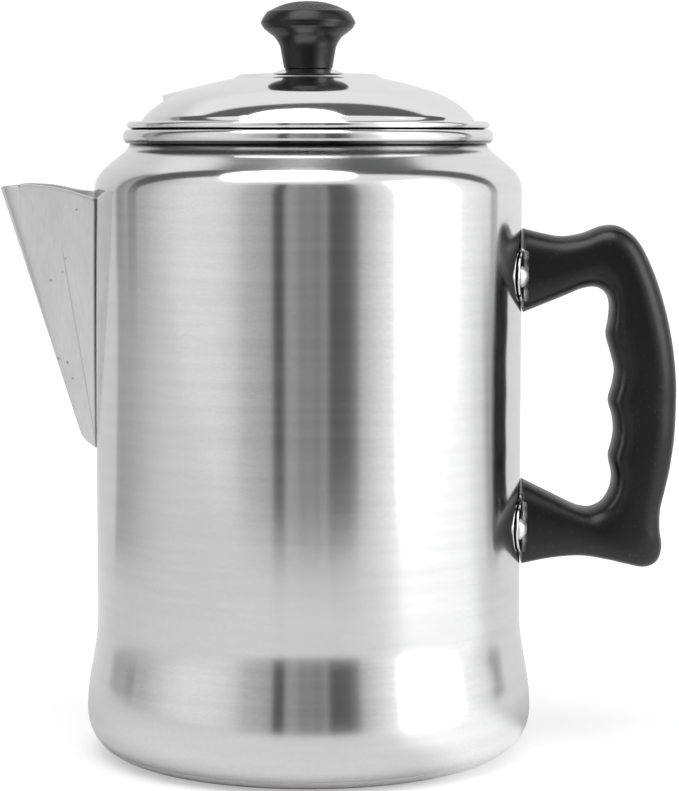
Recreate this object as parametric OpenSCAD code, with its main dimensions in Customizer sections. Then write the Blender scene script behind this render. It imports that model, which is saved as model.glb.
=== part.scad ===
// Stovetop coffee percolator, complete and standing on its base.
// +Z is up, the spout points to -X and the handle to +X.
// The origin is the centre of the ring that the pot stands on.

/* [Pot body] */
// Outside radius of the straight wall
wall_r = 70; // [69:0.5:71]
// Outside radius of the bulge round the base
bulge_r = 73.6; // [72.5:0.1:75]
// Thickness of the drawn aluminium sheet
sheet = 1.2; // [0.9:0.1:1.4]
// Height at which the bulge has drawn in to the straight wall
waist_z = 45.8; // [40:0.2:52]
// Height at which the shoulder starts to turn in
shoulder_z = 184.8; // [183:0.2:187]
// Outside radius of the neck under the rolled rim
neck_r = 58.2; // [57:0.1:59]
// Outside radius of the rolled rim
rim_r = 60.6; // [60:0.1:61.5]
// Height of the top of the rolled rim
rim_top = 205; // [204:0.1:206]

/* [Spout] */
// How far the tip of the spout reaches from the pot's axis
spout_reach = 101; // [96:0.5:106]
// Half of the spout's width where it meets the wall at the top
spout_half_w = 15; // [12:0.5:17]
// Thickness of the spout's sheet
spout_sheet = 1; // [0.8:0.1:1.2]
// Radius of the strainer holes in the wall behind the spout
strainer_r = 1.6; // [1:0.1:2]

/* [Handle] */
// Half of the handle's thickness, side to side
handle_half_t = 11; // [10:0.5:11]
// How square the handle's cross-section is: 2 is an ellipse
handle_square = 2.7; // [2.2:0.1:4]
// Angle from the handle's mid-plane to each rivet, seen from above
rivet_angle = 12; // [12:0.5:13]
// Radius of a rivet's domed head
rivet_head_r = 3.5; // [3:0.1:3.6]

/* [Lid] */
// Thickness of the lid's sheet
lid_sheet = 0.9; // [0.7:0.1:1]
// Radius of curvature of the lid's crown
crown_curve = 130; // [125:1:135]
// Radius of curvature of the turn between crown and edge
haunch_curve = 29; // [28:0.5:30]
// Largest radius of the knob
knob_r = 15.5; // [14.5:0.1:16]

/* [Pump and basket] */
// Outside radius of the pump tube
tube_r = 4.5; // [4:0.1:4.7]
// Height of the top of the pump tube
tube_top = 197; // [194:0.5:200]
// Outside radius of the pump's flared foot
foot_r = 34; // [30:0.5:38]
// Outside radius of the basket wall at its top
basket_r = 46.5; // [42:0.5:48]
// Height of the underside of the basket
basket_z = 123.3; // [118:0.1:126]
// Depth of the basket
basket_h = 57; // [50:0.5:58]
// Radius of the holes in the basket and its cover
perforation_r = 1.25; // [0.8:0.05:1.4]

/* [Hidden] */
$fn = 96;
eps = 0.01;
gap = 0.3;

// Pot body
corner_w = 12.8;
corner_h = 14.1;
recess_r = 50;
recess_h = 0.8;
recess_slope = 2;
shoulder_curve = 10.2;
shoulder_turn = 50.5;
bead_z0 = rim_top - 4.6;
bead_mid = (bead_z0 + rim_top) / 2;
bead_half_w = 1.8;
bead_inner_curve = 1.6;
floor_top = recess_h + sheet;
shoulder_end_r = wall_r - shoulder_curve * (1 - cos(shoulder_turn));
shoulder_end_z = shoulder_z + shoulder_curve * sin(shoulder_turn);
neck_z = shoulder_end_z + (shoulder_end_r - neck_r) / tan(shoulder_turn);

// Spout: its sides are straight lines that all run to one point low on the wall
spout_point_z = 87.4;
spout_top_z = 190;
spout_heel_z = 104.5;
spout_foot_z = 99.9;
spout_tip_z = 186.1;
spout_root_x = -62;
spout_nose_r = 9;
spout_trim = [[-101.5, 186.1], [-96.4, 186.9], [-91.8, 187.2], [-84, 186.6], [-76.5, 185]];
spout_trim_end_x = -69.5;
spout_trim_near_z = 182.8;
spout_trim_far_z = 184.2;

// Handle and its two brackets
handle_face_x = 70.6;
bracket_z = [157.5, 75];
bracket_half_w = 19.6;
bracket_half_h = 8;
bracket_t = 1;
notch_depth = 1.3;
tongue = [17, 2.4, 10];
rivet_shank_r = 1.8;
rivet_head_h = 2.1;
rivet_tail_r = 3.2;
rivet_tail_h = 1.2;
section_points = 28;
rings_per_span = 2;

// The handle's outline: an inner point, then the outer point across from it
handle_outline = [
    [[70.6, 145.1], [70.6, 172.7]], [[77, 147.7], [77, 171.1]], [[83.4, 150.3], [83.4, 170.1]],
    [[90, 153], [90, 171.1]], [[94.6, 153.4], [96.5, 173.5]], [[97.9, 151.3], [102.5, 173.2]],
    [[99.2, 147.5], [108.5, 168.3]], [[98.9, 142.5], [113.6, 158.3]], [[98.2, 137.6], [117.2, 147.5]],
    [[99.8, 131.5], [119.6, 137]], [[101, 126.3], [120.8, 128.5]], [[100.4, 121.3], [121.4, 121]],
    [[99.1, 116], [121.4, 115]], [[100.4, 110.9], [121.2, 108.5]], [[100.9, 106], [120.8, 102.5]],
    [[100.3, 101.8], [120.1, 97]], [[99.3, 97.3], [119.2, 91.5]], [[100.4, 91.5], [117.8, 85.5]],
    [[99.9, 86.8], [116.5, 79.5]], [[97.6, 82.6], [116.4, 73.5]], [[94.6, 80.7], [117.1, 67.2]],
    [[92.3, 80.3], [115.6, 62.5]], [[90.5, 80.5], [111.5, 60.5]], [[88.5, 81], [105.5, 61.5]],
    [[86, 82.1], [98.5, 63.1]], [[82, 84.1], [90, 64.3]], [[77, 86.6], [80, 63.5]],
    [[70.6, 89.8], [70.6, 61.6]]];

// Lid
lid_edge_r = 59.3;
lid_edge_curve = 1.15;
lid_edge_z = rim_top + gap + lid_edge_curve;
lid_seat_curve = bead_inner_curve + gap;
lid_seat_r = neck_r - sheet + bead_inner_curve;
lid_seat_z = rim_top - bead_inner_curve;
skirt_r = lid_seat_r - lid_seat_curve;
skirt_t = 1.9;
skirt_bottom = 198;
crown_top = 223.9;
haunch_start = 18.5;
haunch_end = 49;
plate_r = 24.4;
plate_z = 222.9;
boss_r = 13.6;
boss_z = 224.6;
hood_tip_x = -47.6;
hood_half_w = 8.5;
hood_x = -40.5;
hood_slope = 14;
hood_root = [-33.9, 219.6];
screw_hole_r = 2.3;

// Knob and its fastening
knob_z = boss_z + 0.1;
knob_top = 246.7;
knob_edge_z = 239.8;
knob_waist_r = 9;
knob_waist_z = 232;
knob_foot_r = 7.9;
knob_dome_curve = 30;
insert_r = 4;
insert_h = 12;
screw_r = 2;
washer_r = 6.5;
washer_t = 1;
screw_head_r = 4;
screw_head_h = 2.4;
lid_under_z = boss_z - lid_sheet;

// Pump
tube_wall = 0.8;
tube_bottom = 12;
foot_z = floor_top + gap;
foot_t = 1;
foot_top = 17;
hub_r = 6.3;
bell_rim_h = 2;
bell_top_r = hub_r + 4;
hub_top = 25;
inlet_r = 3;
inlets = 6;
cage_r = 9;
cage_z = 6.6;
cage_top = 12;
cage_t = 0.7;
disc_r = 7.2;
disc_t = 0.8;

// Basket
basket_taper = 2;
basket_t = 0.9;
basket_rim_r = basket_r + 2.8;
basket_top = basket_z + basket_h;
sleeve_clear = 0.5;
sleeve_r = tube_r + sleeve_clear;
sleeve_t = 0.9;
sleeve_flange_r = 9;
stop_r = 8;
stop_h = 3;
cover_r = basket_rim_r - 0.6;
cover_z = basket_top + gap;
cover_rise = 2.5;
cover_t = 0.9;
cover_lip_h = 4;
cover_hole_r = 6.6;
perforation_rings = [[14, 10], [20.5, 15], [27, 20], [33.5, 25], [39.5, 30]];

function arc(cx, cz, rx, rz, a0, a1, n) =
    [for (i = [0:n]) let (a = a0 + (a1 - a0) * i / n) [cx + rx * cos(a), cz + rz * sin(a)]];
function reversed(list) = [for (i = [len(list) - 1:-1:0]) list[i]];

// The wall from the base corner up to the neck, moved inwards by the distance d
function body_side(d) = concat(
    arc(bulge_r - corner_w, corner_h, corner_w - d, corner_h - d, -90, 0, 10),
    [for (i = [1:16]) let (t = i / 16)
        [bulge_r - d - (bulge_r - wall_r) * (1 - cos(180 * t)) / 2, corner_h + (waist_z - corner_h) * t]],
    arc(wall_r - shoulder_curve, shoulder_z, shoulder_curve - d, shoulder_curve - d, 0, shoulder_turn, 8));

module body_shell() {
    color("silver") difference() {
        rotate_extrude() polygon(concat(
            [[0, recess_h], [recess_r, recess_h], [recess_r + recess_slope, 0]],
            body_side(0),
            [[neck_r, neck_z]],
            arc(rim_r - bead_half_w, bead_mid, bead_half_w, rim_top - bead_mid, -90, 90, 12),
            arc(lid_seat_r, lid_seat_z, bead_inner_curve, bead_inner_curve, 90, 180, 6),
            [[neck_r - sheet, neck_z - sheet * tan(shoulder_turn / 2)]],
            reversed(body_side(sheet)),
            [[recess_r + recess_slope, sheet], [recess_r, floor_top], [0, floor_top]]));
        strainer_holes();
        for (z = bracket_z, side = [-1, 1]) rivet_hole(z, side);
    }
}

// Rows of holes up the wall, as many in each row as the spout is wide there
module strainer_holes() {
    rows = 10;
    pitch = 7;
    for (row = [0:rows - 1]) {
        z = spout_foot_z + 11 + row * pitch;
        count = 1 + floor((spout_width_at(z) - 4) / 3.4);
        for (i = [0:count - 1])
            translate([0, (i - (count - 1) / 2) * 6.5, z])
                rotate([0, -90, 0]) cylinder(h = wall_r + 5, r = strainer_r, $fn = 24);
    }
}

module rivet_hole(z, side) {
    rotate([0, 0, side * rivet_angle]) translate([wall_r - 5, 0, z])
        rotate([0, 90, 0]) cylinder(h = 10, r = rivet_shank_r, $fn = 32);
}

// The spout's share of its full width and reach at the height z
function spout_share(z) = (z - spout_point_z) / (spout_tip_z - spout_point_z);
function spout_width_at(z) = spout_half_w * spout_share(z);

module spout_section(z, d) {
    s = spout_share(z);
    reach = (spout_reach - wall_r) * s;
    nose = spout_nose_r * s;
    lean = 15;
    half_w = spout_half_w * s - d / cos(lean);
    root = (-spout_root_x - wall_r);
    flare = -root * tan(lean);
    translate([-wall_r, 0, z]) linear_extrude(eps) polygon(concat(
        [[-root, half_w + flare]],
        [for (i = [0:10]) let (a = 90 + lean + (180 - 2 * lean) * i / 10)
            [-(reach - nose) + max(nose - d, 0.2) * cos(a), max(nose - d, 0.2) * sin(a)]],
        [[-root, -half_w - flare]]));
}

module spout_block(d) {
    hull() {
        spout_section(spout_top_z, d);
        spout_section(spout_heel_z, d);
        translate([-wall_r + 1, -1.2 + d, spout_foot_z + 1.4 * d]) cube([2, 2.4 - 2 * d, eps]);
    }
}

module spout() {
    color("silver") difference() {
        spout_block(0);
        spout_block(spout_sheet);
        translate([0, 0, spout_foot_z - 10]) cylinder(h = 110, r = wall_r + 0.05, $fn = 180);
        for (side = [-1, 1]) spout_trim_cut(side, side < 0 ? spout_trim_near_z : spout_trim_far_z);
    }
}

// What is cut away above the edge of one flank
module spout_trim_cut(side, end_z) {
    translate([0, side < 0 ? -40 : 0, 0]) rotate([90, 0, 0]) translate([0, 0, -40])
        linear_extrude(40) polygon(concat(
            [[-110, spout_tip_z - 0.6]],
            spout_trim,
            [[spout_trim_end_x, end_z], [-60, end_z - 2], [-60, 200], [-110, 200]]));
}

// A smooth curve through the points p1 and p2, with p0 and p3 as their neighbours
function curve(p0, p1, p2, p3, t) = 0.5 * (2 * p1 + (p2 - p0) * t
    + (2 * p0 - 5 * p1 + 4 * p2 - p3) * t * t + (3 * p1 - p0 - 3 * p2 + p3) * t * t * t);
function outline_at(k, t, side) = let (last = len(handle_outline) - 1) curve(
    handle_outline[max(k - 1, 0)][side], handle_outline[k][side],
    handle_outline[min(k + 1, last)][side], handle_outline[min(k + 2, last)][side], t);
function power(v) = sign(v) * pow(abs(v), 2 / handle_square);

// One ring of points round the handle, between an inner and an outer point of its outline
function handle_ring(inner, outer) = [for (i = [0:section_points - 1])
    let (a = 360 * i / section_points, mid = (inner + outer) / 2, half = (outer - inner) / 2,
        p = mid + half * power(cos(a)))
    [p[0], handle_half_t * power(sin(a)), p[1]]];

module handle_solid() {
    spans = len(handle_outline) - 1;
    rings = [for (k = [0:spans - 1], j = [0:rings_per_span - 1])
        handle_ring(outline_at(k, j / rings_per_span, 0), outline_at(k, j / rings_per_span, 1))];
    all_rings = concat(rings, [handle_ring(handle_outline[spans][0], handle_outline[spans][1])]);
    m = section_points;
    n = len(all_rings);
    polyhedron(
        points = [for (ring = all_rings) each ring],
        faces = concat(
            [[for (i = [0:m - 1]) i]],
            [for (k = [0:n - 2], i = [0:m - 1]) let (j = (i + 1) % m)
                each [[k * m + i, (k + 1) * m + i, k * m + j],
                    [k * m + j, (k + 1) * m + i, (k + 1) * m + j]]],
            [[for (i = [m - 1:-1:0]) (n - 1) * m + i]]));
}

module tongue_at(z, clear) {
    translate([handle_face_x, -tongue[1] / 2 - clear, z - tongue[2] / 2 - clear])
        cube([tongue[0] + clear, tongue[1] + 2 * clear, tongue[2] + 2 * clear]);
}

module handle() {
    color("black") difference() {
        handle_solid();
        for (z = bracket_z) {
            translate([handle_face_x - 1, -20, z - bracket_half_h - gap])
                cube([1 + notch_depth, 40, 2 * (bracket_half_h + gap)]);
            tongue_at(z, 0.05);
        }
    }
}

// A curved plate with round ends that lies on the wall, and a tongue moulded into the handle
module bracket(z) {
    color("gainsboro") {
        difference() {
            intersection() {
                translate([0, 0, z - 20]) cylinder(h = 40, r = wall_r + bracket_t, $fn = 180);
                translate([wall_r - 10, 0, z]) rotate([90, 0, 90]) linear_extrude(20) {
                    square([2 * (bracket_half_w - bracket_half_h), 2 * bracket_half_h], center = true);
                    for (side = [-1, 1])
                        translate([side * (bracket_half_w - bracket_half_h), 0]) circle(bracket_half_h);
                }
            }
            translate([0, 0, z - 21]) cylinder(h = 42, r = wall_r + 0.02, $fn = 180);
            for (side = [-1, 1]) rivet_hole(z, side);
        }
        translate([wall_r + bracket_t / 2, -tongue[1] / 2, z - tongue[2] / 2])
            cube([handle_face_x + tongue[0] - wall_r - bracket_t / 2, tongue[1], tongue[2]]);
    }
}

module handle_bracket_upper() {
    bracket(bracket_z[0]);
}

module handle_bracket_lower() {
    bracket(bracket_z[1]);
}

// Domed head outside, shank through bracket and wall, flat tail inside
module rivet(z, side) {
    cap_curve = (rivet_head_r * rivet_head_r + rivet_head_h * rivet_head_h) / (2 * rivet_head_h);
    head_x = wall_r + bracket_t;
    tail_x = wall_r - sheet - 0.1;
    color("white") rotate([0, 0, side * rivet_angle]) translate([0, 0, z]) rotate([0, 90, 0]) rotate_extrude()
        polygon(concat(
            [[0, tail_x - rivet_tail_h], [rivet_tail_r - 0.4, tail_x - rivet_tail_h],
                [rivet_tail_r, tail_x - rivet_tail_h + 0.4], [rivet_tail_r, tail_x],
                [rivet_shank_r - 0.05, tail_x], [rivet_shank_r - 0.05, head_x], [rivet_head_r, head_x]],
            arc(0, head_x + rivet_head_h - cap_curve, cap_curve, cap_curve,
                asin((cap_curve - rivet_head_h) / cap_curve), 90, 8)));
}

module rivet_upper_front() {
    rivet(bracket_z[0], -1);
}

module rivet_upper_back() {
    rivet(bracket_z[0], 1);
}

module rivet_lower_front() {
    rivet(bracket_z[1], -1);
}

module rivet_lower_back() {
    rivet(bracket_z[1], 1);
}

// The lid's crown and haunch from the middle plate out to the edge, moved inwards by d
function dome_side(d) = let (
        crown_z = crown_top - crown_curve,
        start = asin(plate_r / crown_curve),
        haunch_cx = (crown_curve - haunch_curve) * sin(haunch_start),
        haunch_cz = crown_z + (crown_curve - haunch_curve) * cos(haunch_start))
    concat(
        arc(0, crown_z, crown_curve - d, crown_curve - d, 90 - start, 90 - haunch_start, 6),
        arc(haunch_cx, haunch_cz, haunch_curve - d, haunch_curve - d,
            90 - haunch_start, 90 - haunch_end, 8));

module lid_dome() {
    outer = dome_side(0);
    base_r = outer[len(outer) - 1][0] + 0.8;
    shelf_z = lid_edge_z + lid_edge_curve - 0.3;
    rotate_extrude() polygon(concat(
        [[screw_hole_r, boss_z], [boss_r - 0.8, boss_z], [boss_r + 0.6, plate_z + 0.1],
            [plate_r - 2.6, plate_z], [plate_r - 1.2, plate_z - 0.4]],
        outer,
        [[base_r, shelf_z], [lid_edge_r - 2 * lid_edge_curve, shelf_z]],
        arc(lid_edge_r - lid_edge_curve, lid_edge_z, lid_edge_curve, lid_edge_curve, 100, -90, 12),
        arc(lid_seat_r, lid_seat_z, lid_seat_curve, lid_seat_curve, 90, 180, 6),
        arc(skirt_r - skirt_t / 2, skirt_bottom, skirt_t / 2, skirt_t / 2, 0, -180, 8),
        [[skirt_r - skirt_t, shelf_z - 1.2]],
        reversed(dome_side(lid_sheet)),
        [[plate_r - 1.2, plate_z - 0.4 - lid_sheet], [plate_r - 2.6, plate_z - lid_sheet],
            [boss_r + 0.6, plate_z - lid_sheet + 0.1], [boss_r - 0.8, boss_z - lid_sheet],
            [screw_hole_r, boss_z - lid_sheet]]));
}

// The space under a straight line that leaves the crown and runs out past the haunch
module hood_wedge(d, tip) {
    rise = tan(hood_slope);
    intersection() {
        rotate([90, 0, 0]) translate([0, 0, -20]) linear_extrude(40) polygon([
            [hood_root[0], hood_root[1] - d], [tip, hood_root[1] - d + rise * (tip - hood_root[0])],
            [tip, 205], [hood_root[0], 205]]);
        translate([hood_x, 0, 200]) cylinder(h = 40, r = hood_half_w - d, $fn = 48);
    }
}

module lid_shell() {
    color("lightgray") difference() {
        union() {
            lid_dome();
            difference() {
                hood_wedge(0, hood_tip_x);
                rotate_extrude() polygon(concat(
                    [[0, crown_top - 6]], dome_side(lid_sheet / 2), [[60, 206], [60, 190], [0, 190]]));
            }
        }
        hood_wedge(lid_sheet, hood_tip_x - 1.5);
    }
}

module lid_knob() {
    dome_turn = 90 - asin((knob_r - 4.5) / knob_dome_curve);
    color("black") difference() {
        rotate_extrude() polygon(concat(
            [[0, knob_z], [knob_foot_r - 0.4, knob_z], [knob_foot_r, knob_z + 0.4],
                [knob_foot_r + 0.6, knob_z + 4.4], [knob_waist_r - 0.3, knob_waist_z - 1]],
            arc(knob_waist_r + 3, knob_waist_z + 0.4, 3, 3.2, 180, 120, 5),
            arc(knob_r - 3, knob_edge_z, 3, 3, -55, 0, 5),
            arc(0, knob_top - knob_dome_curve, knob_dome_curve, knob_dome_curve, dome_turn - 4, 90, 8)));
        translate([0, 0, knob_z - 1]) cylinder(h = insert_h + 1.4, r = insert_r, $fn = 48);
    }
}

// Threaded bush moulded into the knob
module knob_insert() {
    color("gold") translate([0, 0, knob_z + 0.2]) difference() {
        cylinder(h = insert_h, r = insert_r - 0.02, $fn = 48);
        translate([0, 0, -1]) cylinder(h = insert_h - 1, r = screw_r, $fn = 48);
    }
}

// Slotted cheese-head screw, put in from under the lid
module knob_screw() {
    head_z = lid_under_z - washer_t - 0.1;
    slot = 1;
    color("white") difference() {
        rotate_extrude() polygon([
            [0, head_z - screw_head_h], [screw_head_r - 1, head_z - screw_head_h],
            [screw_head_r, head_z - screw_head_h + 0.9], [screw_head_r, head_z],
            [screw_r - 0.05, head_z], [screw_r - 0.05, knob_z + insert_h - 3.5],
            [screw_r - 0.6, knob_z + insert_h - 3], [0, knob_z + insert_h - 3]]);
        translate([-screw_head_r - 1, -slot / 2, head_z - screw_head_h - 1])
            cube([2 * screw_head_r + 2, slot, 1 + slot]);
    }
}

module knob_washer() {
    color("white") translate([0, 0, lid_under_z - washer_t - 0.05]) difference() {
        cylinder(h = washer_t, r = washer_r, $fn = 64);
        translate([0, 0, -1]) cylinder(h = washer_t + 2, r = screw_hole_r, $fn = 48);
    }
}

// Rings of small holes through a flat sheet, round a clear middle
module perforations(z, h) {
    for (ring = perforation_rings, i = [0:ring[1] - 1])
        rotate([0, 0, 360 * i / ring[1]]) translate([ring[0], 0, z])
            cylinder(h = h, r = perforation_r, $fn = 16);
}

module basket() {
    bottom_r = basket_r - basket_taper;
    corner = 4;
    color("silver") difference() {
        rotate_extrude() polygon(concat(
            [[sleeve_r + sleeve_t, basket_z]],
            arc(bottom_r - corner, basket_z + corner, corner, corner, -90, 0, 5),
            [[basket_r, basket_top - 2.4], [basket_rim_r - 1, basket_top - 1.8]],
            arc(basket_rim_r - 0.9, basket_top - 0.9, 0.9, 0.9, -90, 90, 6),
            [[basket_r + 0.4, basket_top], [basket_r - basket_t, basket_top - 1.6]],
            arc(bottom_r - corner, basket_z + corner, corner - basket_t, corner - basket_t, 0, -90, 5),
            [[sleeve_r + sleeve_t, basket_z + basket_t]]));
        perforations(basket_z - 1, 3);
        basket_side_holes();
    }
}

module basket_side_holes() {
    holes = 20;
    for (row = [0:1], i = [0:holes - 1])
        rotate([0, 0, 360 * (i + (row % 2) / 2) / holes])
            translate([basket_r - basket_taper - 5, 0, basket_z + 8 + 6 * row])
                rotate([0, 90, 0]) cylinder(h = 10, r = perforation_r, $fn = 16);
}

// The basket's centre tube, crimped through its floor
module basket_sleeve() {
    color("silver") rotate_extrude() polygon([
        [sleeve_r, basket_z - 0.1], [sleeve_r + sleeve_t - 0.02, basket_z - 0.1],
        [sleeve_r + sleeve_t - 0.02, basket_z + basket_t + 0.05],
        [sleeve_flange_r, basket_z + basket_t + 0.05],
        [sleeve_flange_r, basket_z + basket_t + 0.75], [sleeve_r + sleeve_t, basket_z + basket_t + 1.2],
        [sleeve_r + sleeve_t, basket_top - 4], [sleeve_r, basket_top - 4]]);
}

// The perforated cover that spreads the water over the coffee
module basket_cover() {
    flat_r = cover_r - 5.5;
    color("silver") difference() {
        rotate_extrude() polygon([
            [cover_hole_r, cover_z + cover_rise], [flat_r, cover_z + cover_rise],
            [flat_r + 2.5, cover_z], [cover_r, cover_z], [cover_r, cover_z + 1.4],
            [cover_r - cover_t, cover_z + 1.4], [cover_r - cover_t, cover_z + cover_t],
            [flat_r + 2.9, cover_z + cover_t], [flat_r + 0.4, cover_z + cover_rise + cover_t],
            [cover_hole_r + cover_t, cover_z + cover_rise + cover_t],
            [cover_hole_r + cover_t, cover_z + cover_rise + cover_lip_h],
            [cover_hole_r, cover_z + cover_rise + cover_lip_h]]);
        perforations(cover_z - 2, 8);
    }
}

module pump_tube() {
    color("silver") rotate_extrude() polygon([
        [tube_r - tube_wall, tube_bottom], [tube_r, tube_bottom], [tube_r, tube_top - 0.5],
        [tube_r - 0.3, tube_top], [tube_r - tube_wall, tube_top]]);
}

// Collar pressed on the tube, on which the basket stands
module basket_stop() {
    color("silver") rotate_extrude() polygon([
        [tube_r, basket_z - gap - stop_h], [stop_r - 1.6, basket_z - gap - stop_h],
        [stop_r, basket_z - gap - 0.8], [stop_r, basket_z - gap], [tube_r, basket_z - gap]]);
}

// The bell's side from its rim up to the flat top, moved inwards by d
function bell_side(d) = [for (i = [0:10]) let (t = i / 10)
    [foot_r - d - (foot_r - d - bell_top_r) * t,
        foot_z + bell_rim_h - 0.6 * d + (foot_top - foot_z - bell_rim_h - 0.4 * d) * pow(sin(90 * t), 0.8)]];

// Bell-shaped foot that traps the steam, with inlets round its edge
module pump_foot() {
    color("silver") difference() {
        rotate_extrude() polygon(concat(
            [[foot_r, foot_z]],
            bell_side(0),
            [[hub_r + 0.6, foot_top + 0.4], [hub_r, foot_top + 1.4], [hub_r, hub_top],
                [tube_r, hub_top], [tube_r, tube_bottom],
                [bell_top_r, tube_bottom], [bell_top_r, foot_top - foot_t]],
            reversed([for (i = [0:9]) bell_side(foot_t)[i]]),
            [[foot_r - foot_t, foot_z]]));
        for (i = [0:inlets - 1])
            rotate([0, 0, 360 * (i + 0.5) / inlets]) translate([foot_r - 9, 0, foot_z])
                rotate([0, 90, 0]) cylinder(h = 12, r = inlet_r, $fn = 32);
    }
}

// Small cup under the foot that keeps the valve disc in place
module valve_cage() {
    color("silver") difference() {
        rotate_extrude() polygon([
            [3.4, cage_z], [cage_r, cage_z], [cage_r, cage_top - 0.05], [cage_r - cage_t, cage_top - 0.05],
            [cage_r - cage_t, cage_z + cage_t], [3.4, cage_z + cage_t]]);
        for (i = [0:5])
            rotate([0, 0, 60 * i]) translate([cage_r - 3, 0, cage_z + 3.1])
                rotate([0, 90, 0]) cylinder(h = 6, r = 1.3, $fn = 24);
    }
}

module valve_disc() {
    color("white") translate([0, 0, cage_z + cage_t + 0.2]) cylinder(h = disc_t, r = disc_r, $fn = 64);
}

body_shell();
spout();
handle();
handle_bracket_upper();
handle_bracket_lower();
rivet_upper_front();
rivet_upper_back();
rivet_lower_front();
rivet_lower_back();
lid_shell();
lid_knob();
knob_insert();
knob_screw();
knob_washer();
basket();
basket_sleeve();
basket_cover();
pump_tube();
basket_stop();
pump_foot();
valve_cage();
valve_disc();
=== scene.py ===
"""Looks of a stovetop coffee percolator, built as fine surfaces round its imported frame.

The file is laid out as an add-on with one operator for each piece or group of like pieces.
It is run as a script. Everything is in metres, with the pot's axis on Z and its base at Z 0.
"""

import math

import bmesh
import bpy
import numpy as np
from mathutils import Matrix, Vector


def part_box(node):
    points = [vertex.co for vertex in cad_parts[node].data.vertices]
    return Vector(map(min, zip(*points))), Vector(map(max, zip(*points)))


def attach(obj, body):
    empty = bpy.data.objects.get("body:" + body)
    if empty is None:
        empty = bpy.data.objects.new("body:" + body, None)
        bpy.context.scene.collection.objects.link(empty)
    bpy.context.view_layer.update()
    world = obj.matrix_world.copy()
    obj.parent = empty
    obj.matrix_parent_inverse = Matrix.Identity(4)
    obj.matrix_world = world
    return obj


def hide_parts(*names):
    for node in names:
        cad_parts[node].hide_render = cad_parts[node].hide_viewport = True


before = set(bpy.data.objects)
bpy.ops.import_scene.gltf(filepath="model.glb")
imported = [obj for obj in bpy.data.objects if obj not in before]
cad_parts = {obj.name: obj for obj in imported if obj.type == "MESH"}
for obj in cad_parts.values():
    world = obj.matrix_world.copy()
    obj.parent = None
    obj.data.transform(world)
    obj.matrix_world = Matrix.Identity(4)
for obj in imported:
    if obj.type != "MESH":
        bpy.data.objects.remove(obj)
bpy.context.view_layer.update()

bl_info = {
    "name": "Coffee percolator",
    "version": (1, 0, 0),
    "blender": (4, 5, 0),
    "location": "3D View > Sidebar > Percolator",
    "description": "Builds a stovetop coffee percolator from surfaces with spun-metal finishes",
    "category": "Add Mesh",
}

MM = 0.001


# ---------------------------------------------------------------- sizes and colours

def length(name, description, default):
    """A size in metres."""
    return bpy.props.FloatProperty(name=name, description=description, default=default,
                                   min=0.0, precision=5, unit="LENGTH")


def turn(name, description, degrees):
    """An angle, given in degrees and kept in radians."""
    return bpy.props.FloatProperty(name=name, description=description,
                                   default=math.radians(degrees), subtype="ANGLE")


def count(name, description, default):
    """How many there are of something."""
    return bpy.props.IntProperty(name=name, description=description, default=default, min=1)


def share(name, description, default):
    """A factor from 0 to 1."""
    return bpy.props.FloatProperty(name=name, description=description, default=default,
                                   min=0.0, max=1.0, subtype="FACTOR")


def colour(name, description, default):
    """A linear colour."""
    return bpy.props.FloatVectorProperty(name=name, description=description, default=default,
                                         size=3, min=0.0, max=1.0, subtype="COLOR")


def top_of(node):
    """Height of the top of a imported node."""
    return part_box(node)[1].z


class PotSizes(bpy.types.PropertyGroup):
    """Sizes of the drawn body."""
    wall_radius: length("Wall radius", "Outside radius of the straight wall", 70 * MM)
    bulge_radius: length("Bulge radius", "Outside radius of the bulge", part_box("body_shell")[1].y)
    sheet: length("Sheet", "Thickness of the drawn sheet", 1.2 * MM)
    waist_height: length("Waist", "Height at which the bulge has drawn in", 45.8 * MM)
    shoulder_height: length("Shoulder", "Height at which the shoulder turns in", 184.8 * MM)
    shoulder_turn: turn("Shoulder turn", "How far the shoulder turns in", 50.5)
    shoulder_curve: length("Shoulder curve", "Radius of the shoulder's curve", 10.2 * MM)
    neck_radius: length("Neck radius", "Outside radius of the neck", 58.2 * MM)
    rim_radius: length("Rim radius", "Outside radius of the rolled rim", 60.6 * MM)
    rim_top: length("Rim top", "Height of the rolled rim", top_of("body_shell"))
    strainer_radius: length("Strainer hole", "Radius of a hole behind the spout", 1.6 * MM)
    columns: count("Columns", "Steps round the axis", 224)


class SpoutSizes(bpy.types.PropertyGroup):
    """Sizes of the pouring spout, a cone whose sides run to one point on the wall."""
    reach: length("Reach", "From the wall to the tip of the nose", 30.98 * MM)
    half_width: length("Half width", "Half of the width at the wall", 15 * MM)
    nose_radius: length("Nose radius", "Radius of the rounded nose", 9 * MM)
    lean: turn("Lean", "How far each flank leans from the mid-plane", 15)
    point_height: length("Point", "Height of the point that the sides run to", 87.4 * MM)
    tip_height: length("Tip", "Height of the tip of the nose", 186.1 * MM)
    heel_height: length("Heel", "Height at which the nose is cut off below", 104.5 * MM)
    foot_height: length("Foot", "Height at which the spout ends on the wall", 99.9 * MM)
    sheet: length("Sheet", "Thickness of the spout", 0.9 * MM)
    clearance: length("Clearance", "Seam between spout and wall", 0.12 * MM)


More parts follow.
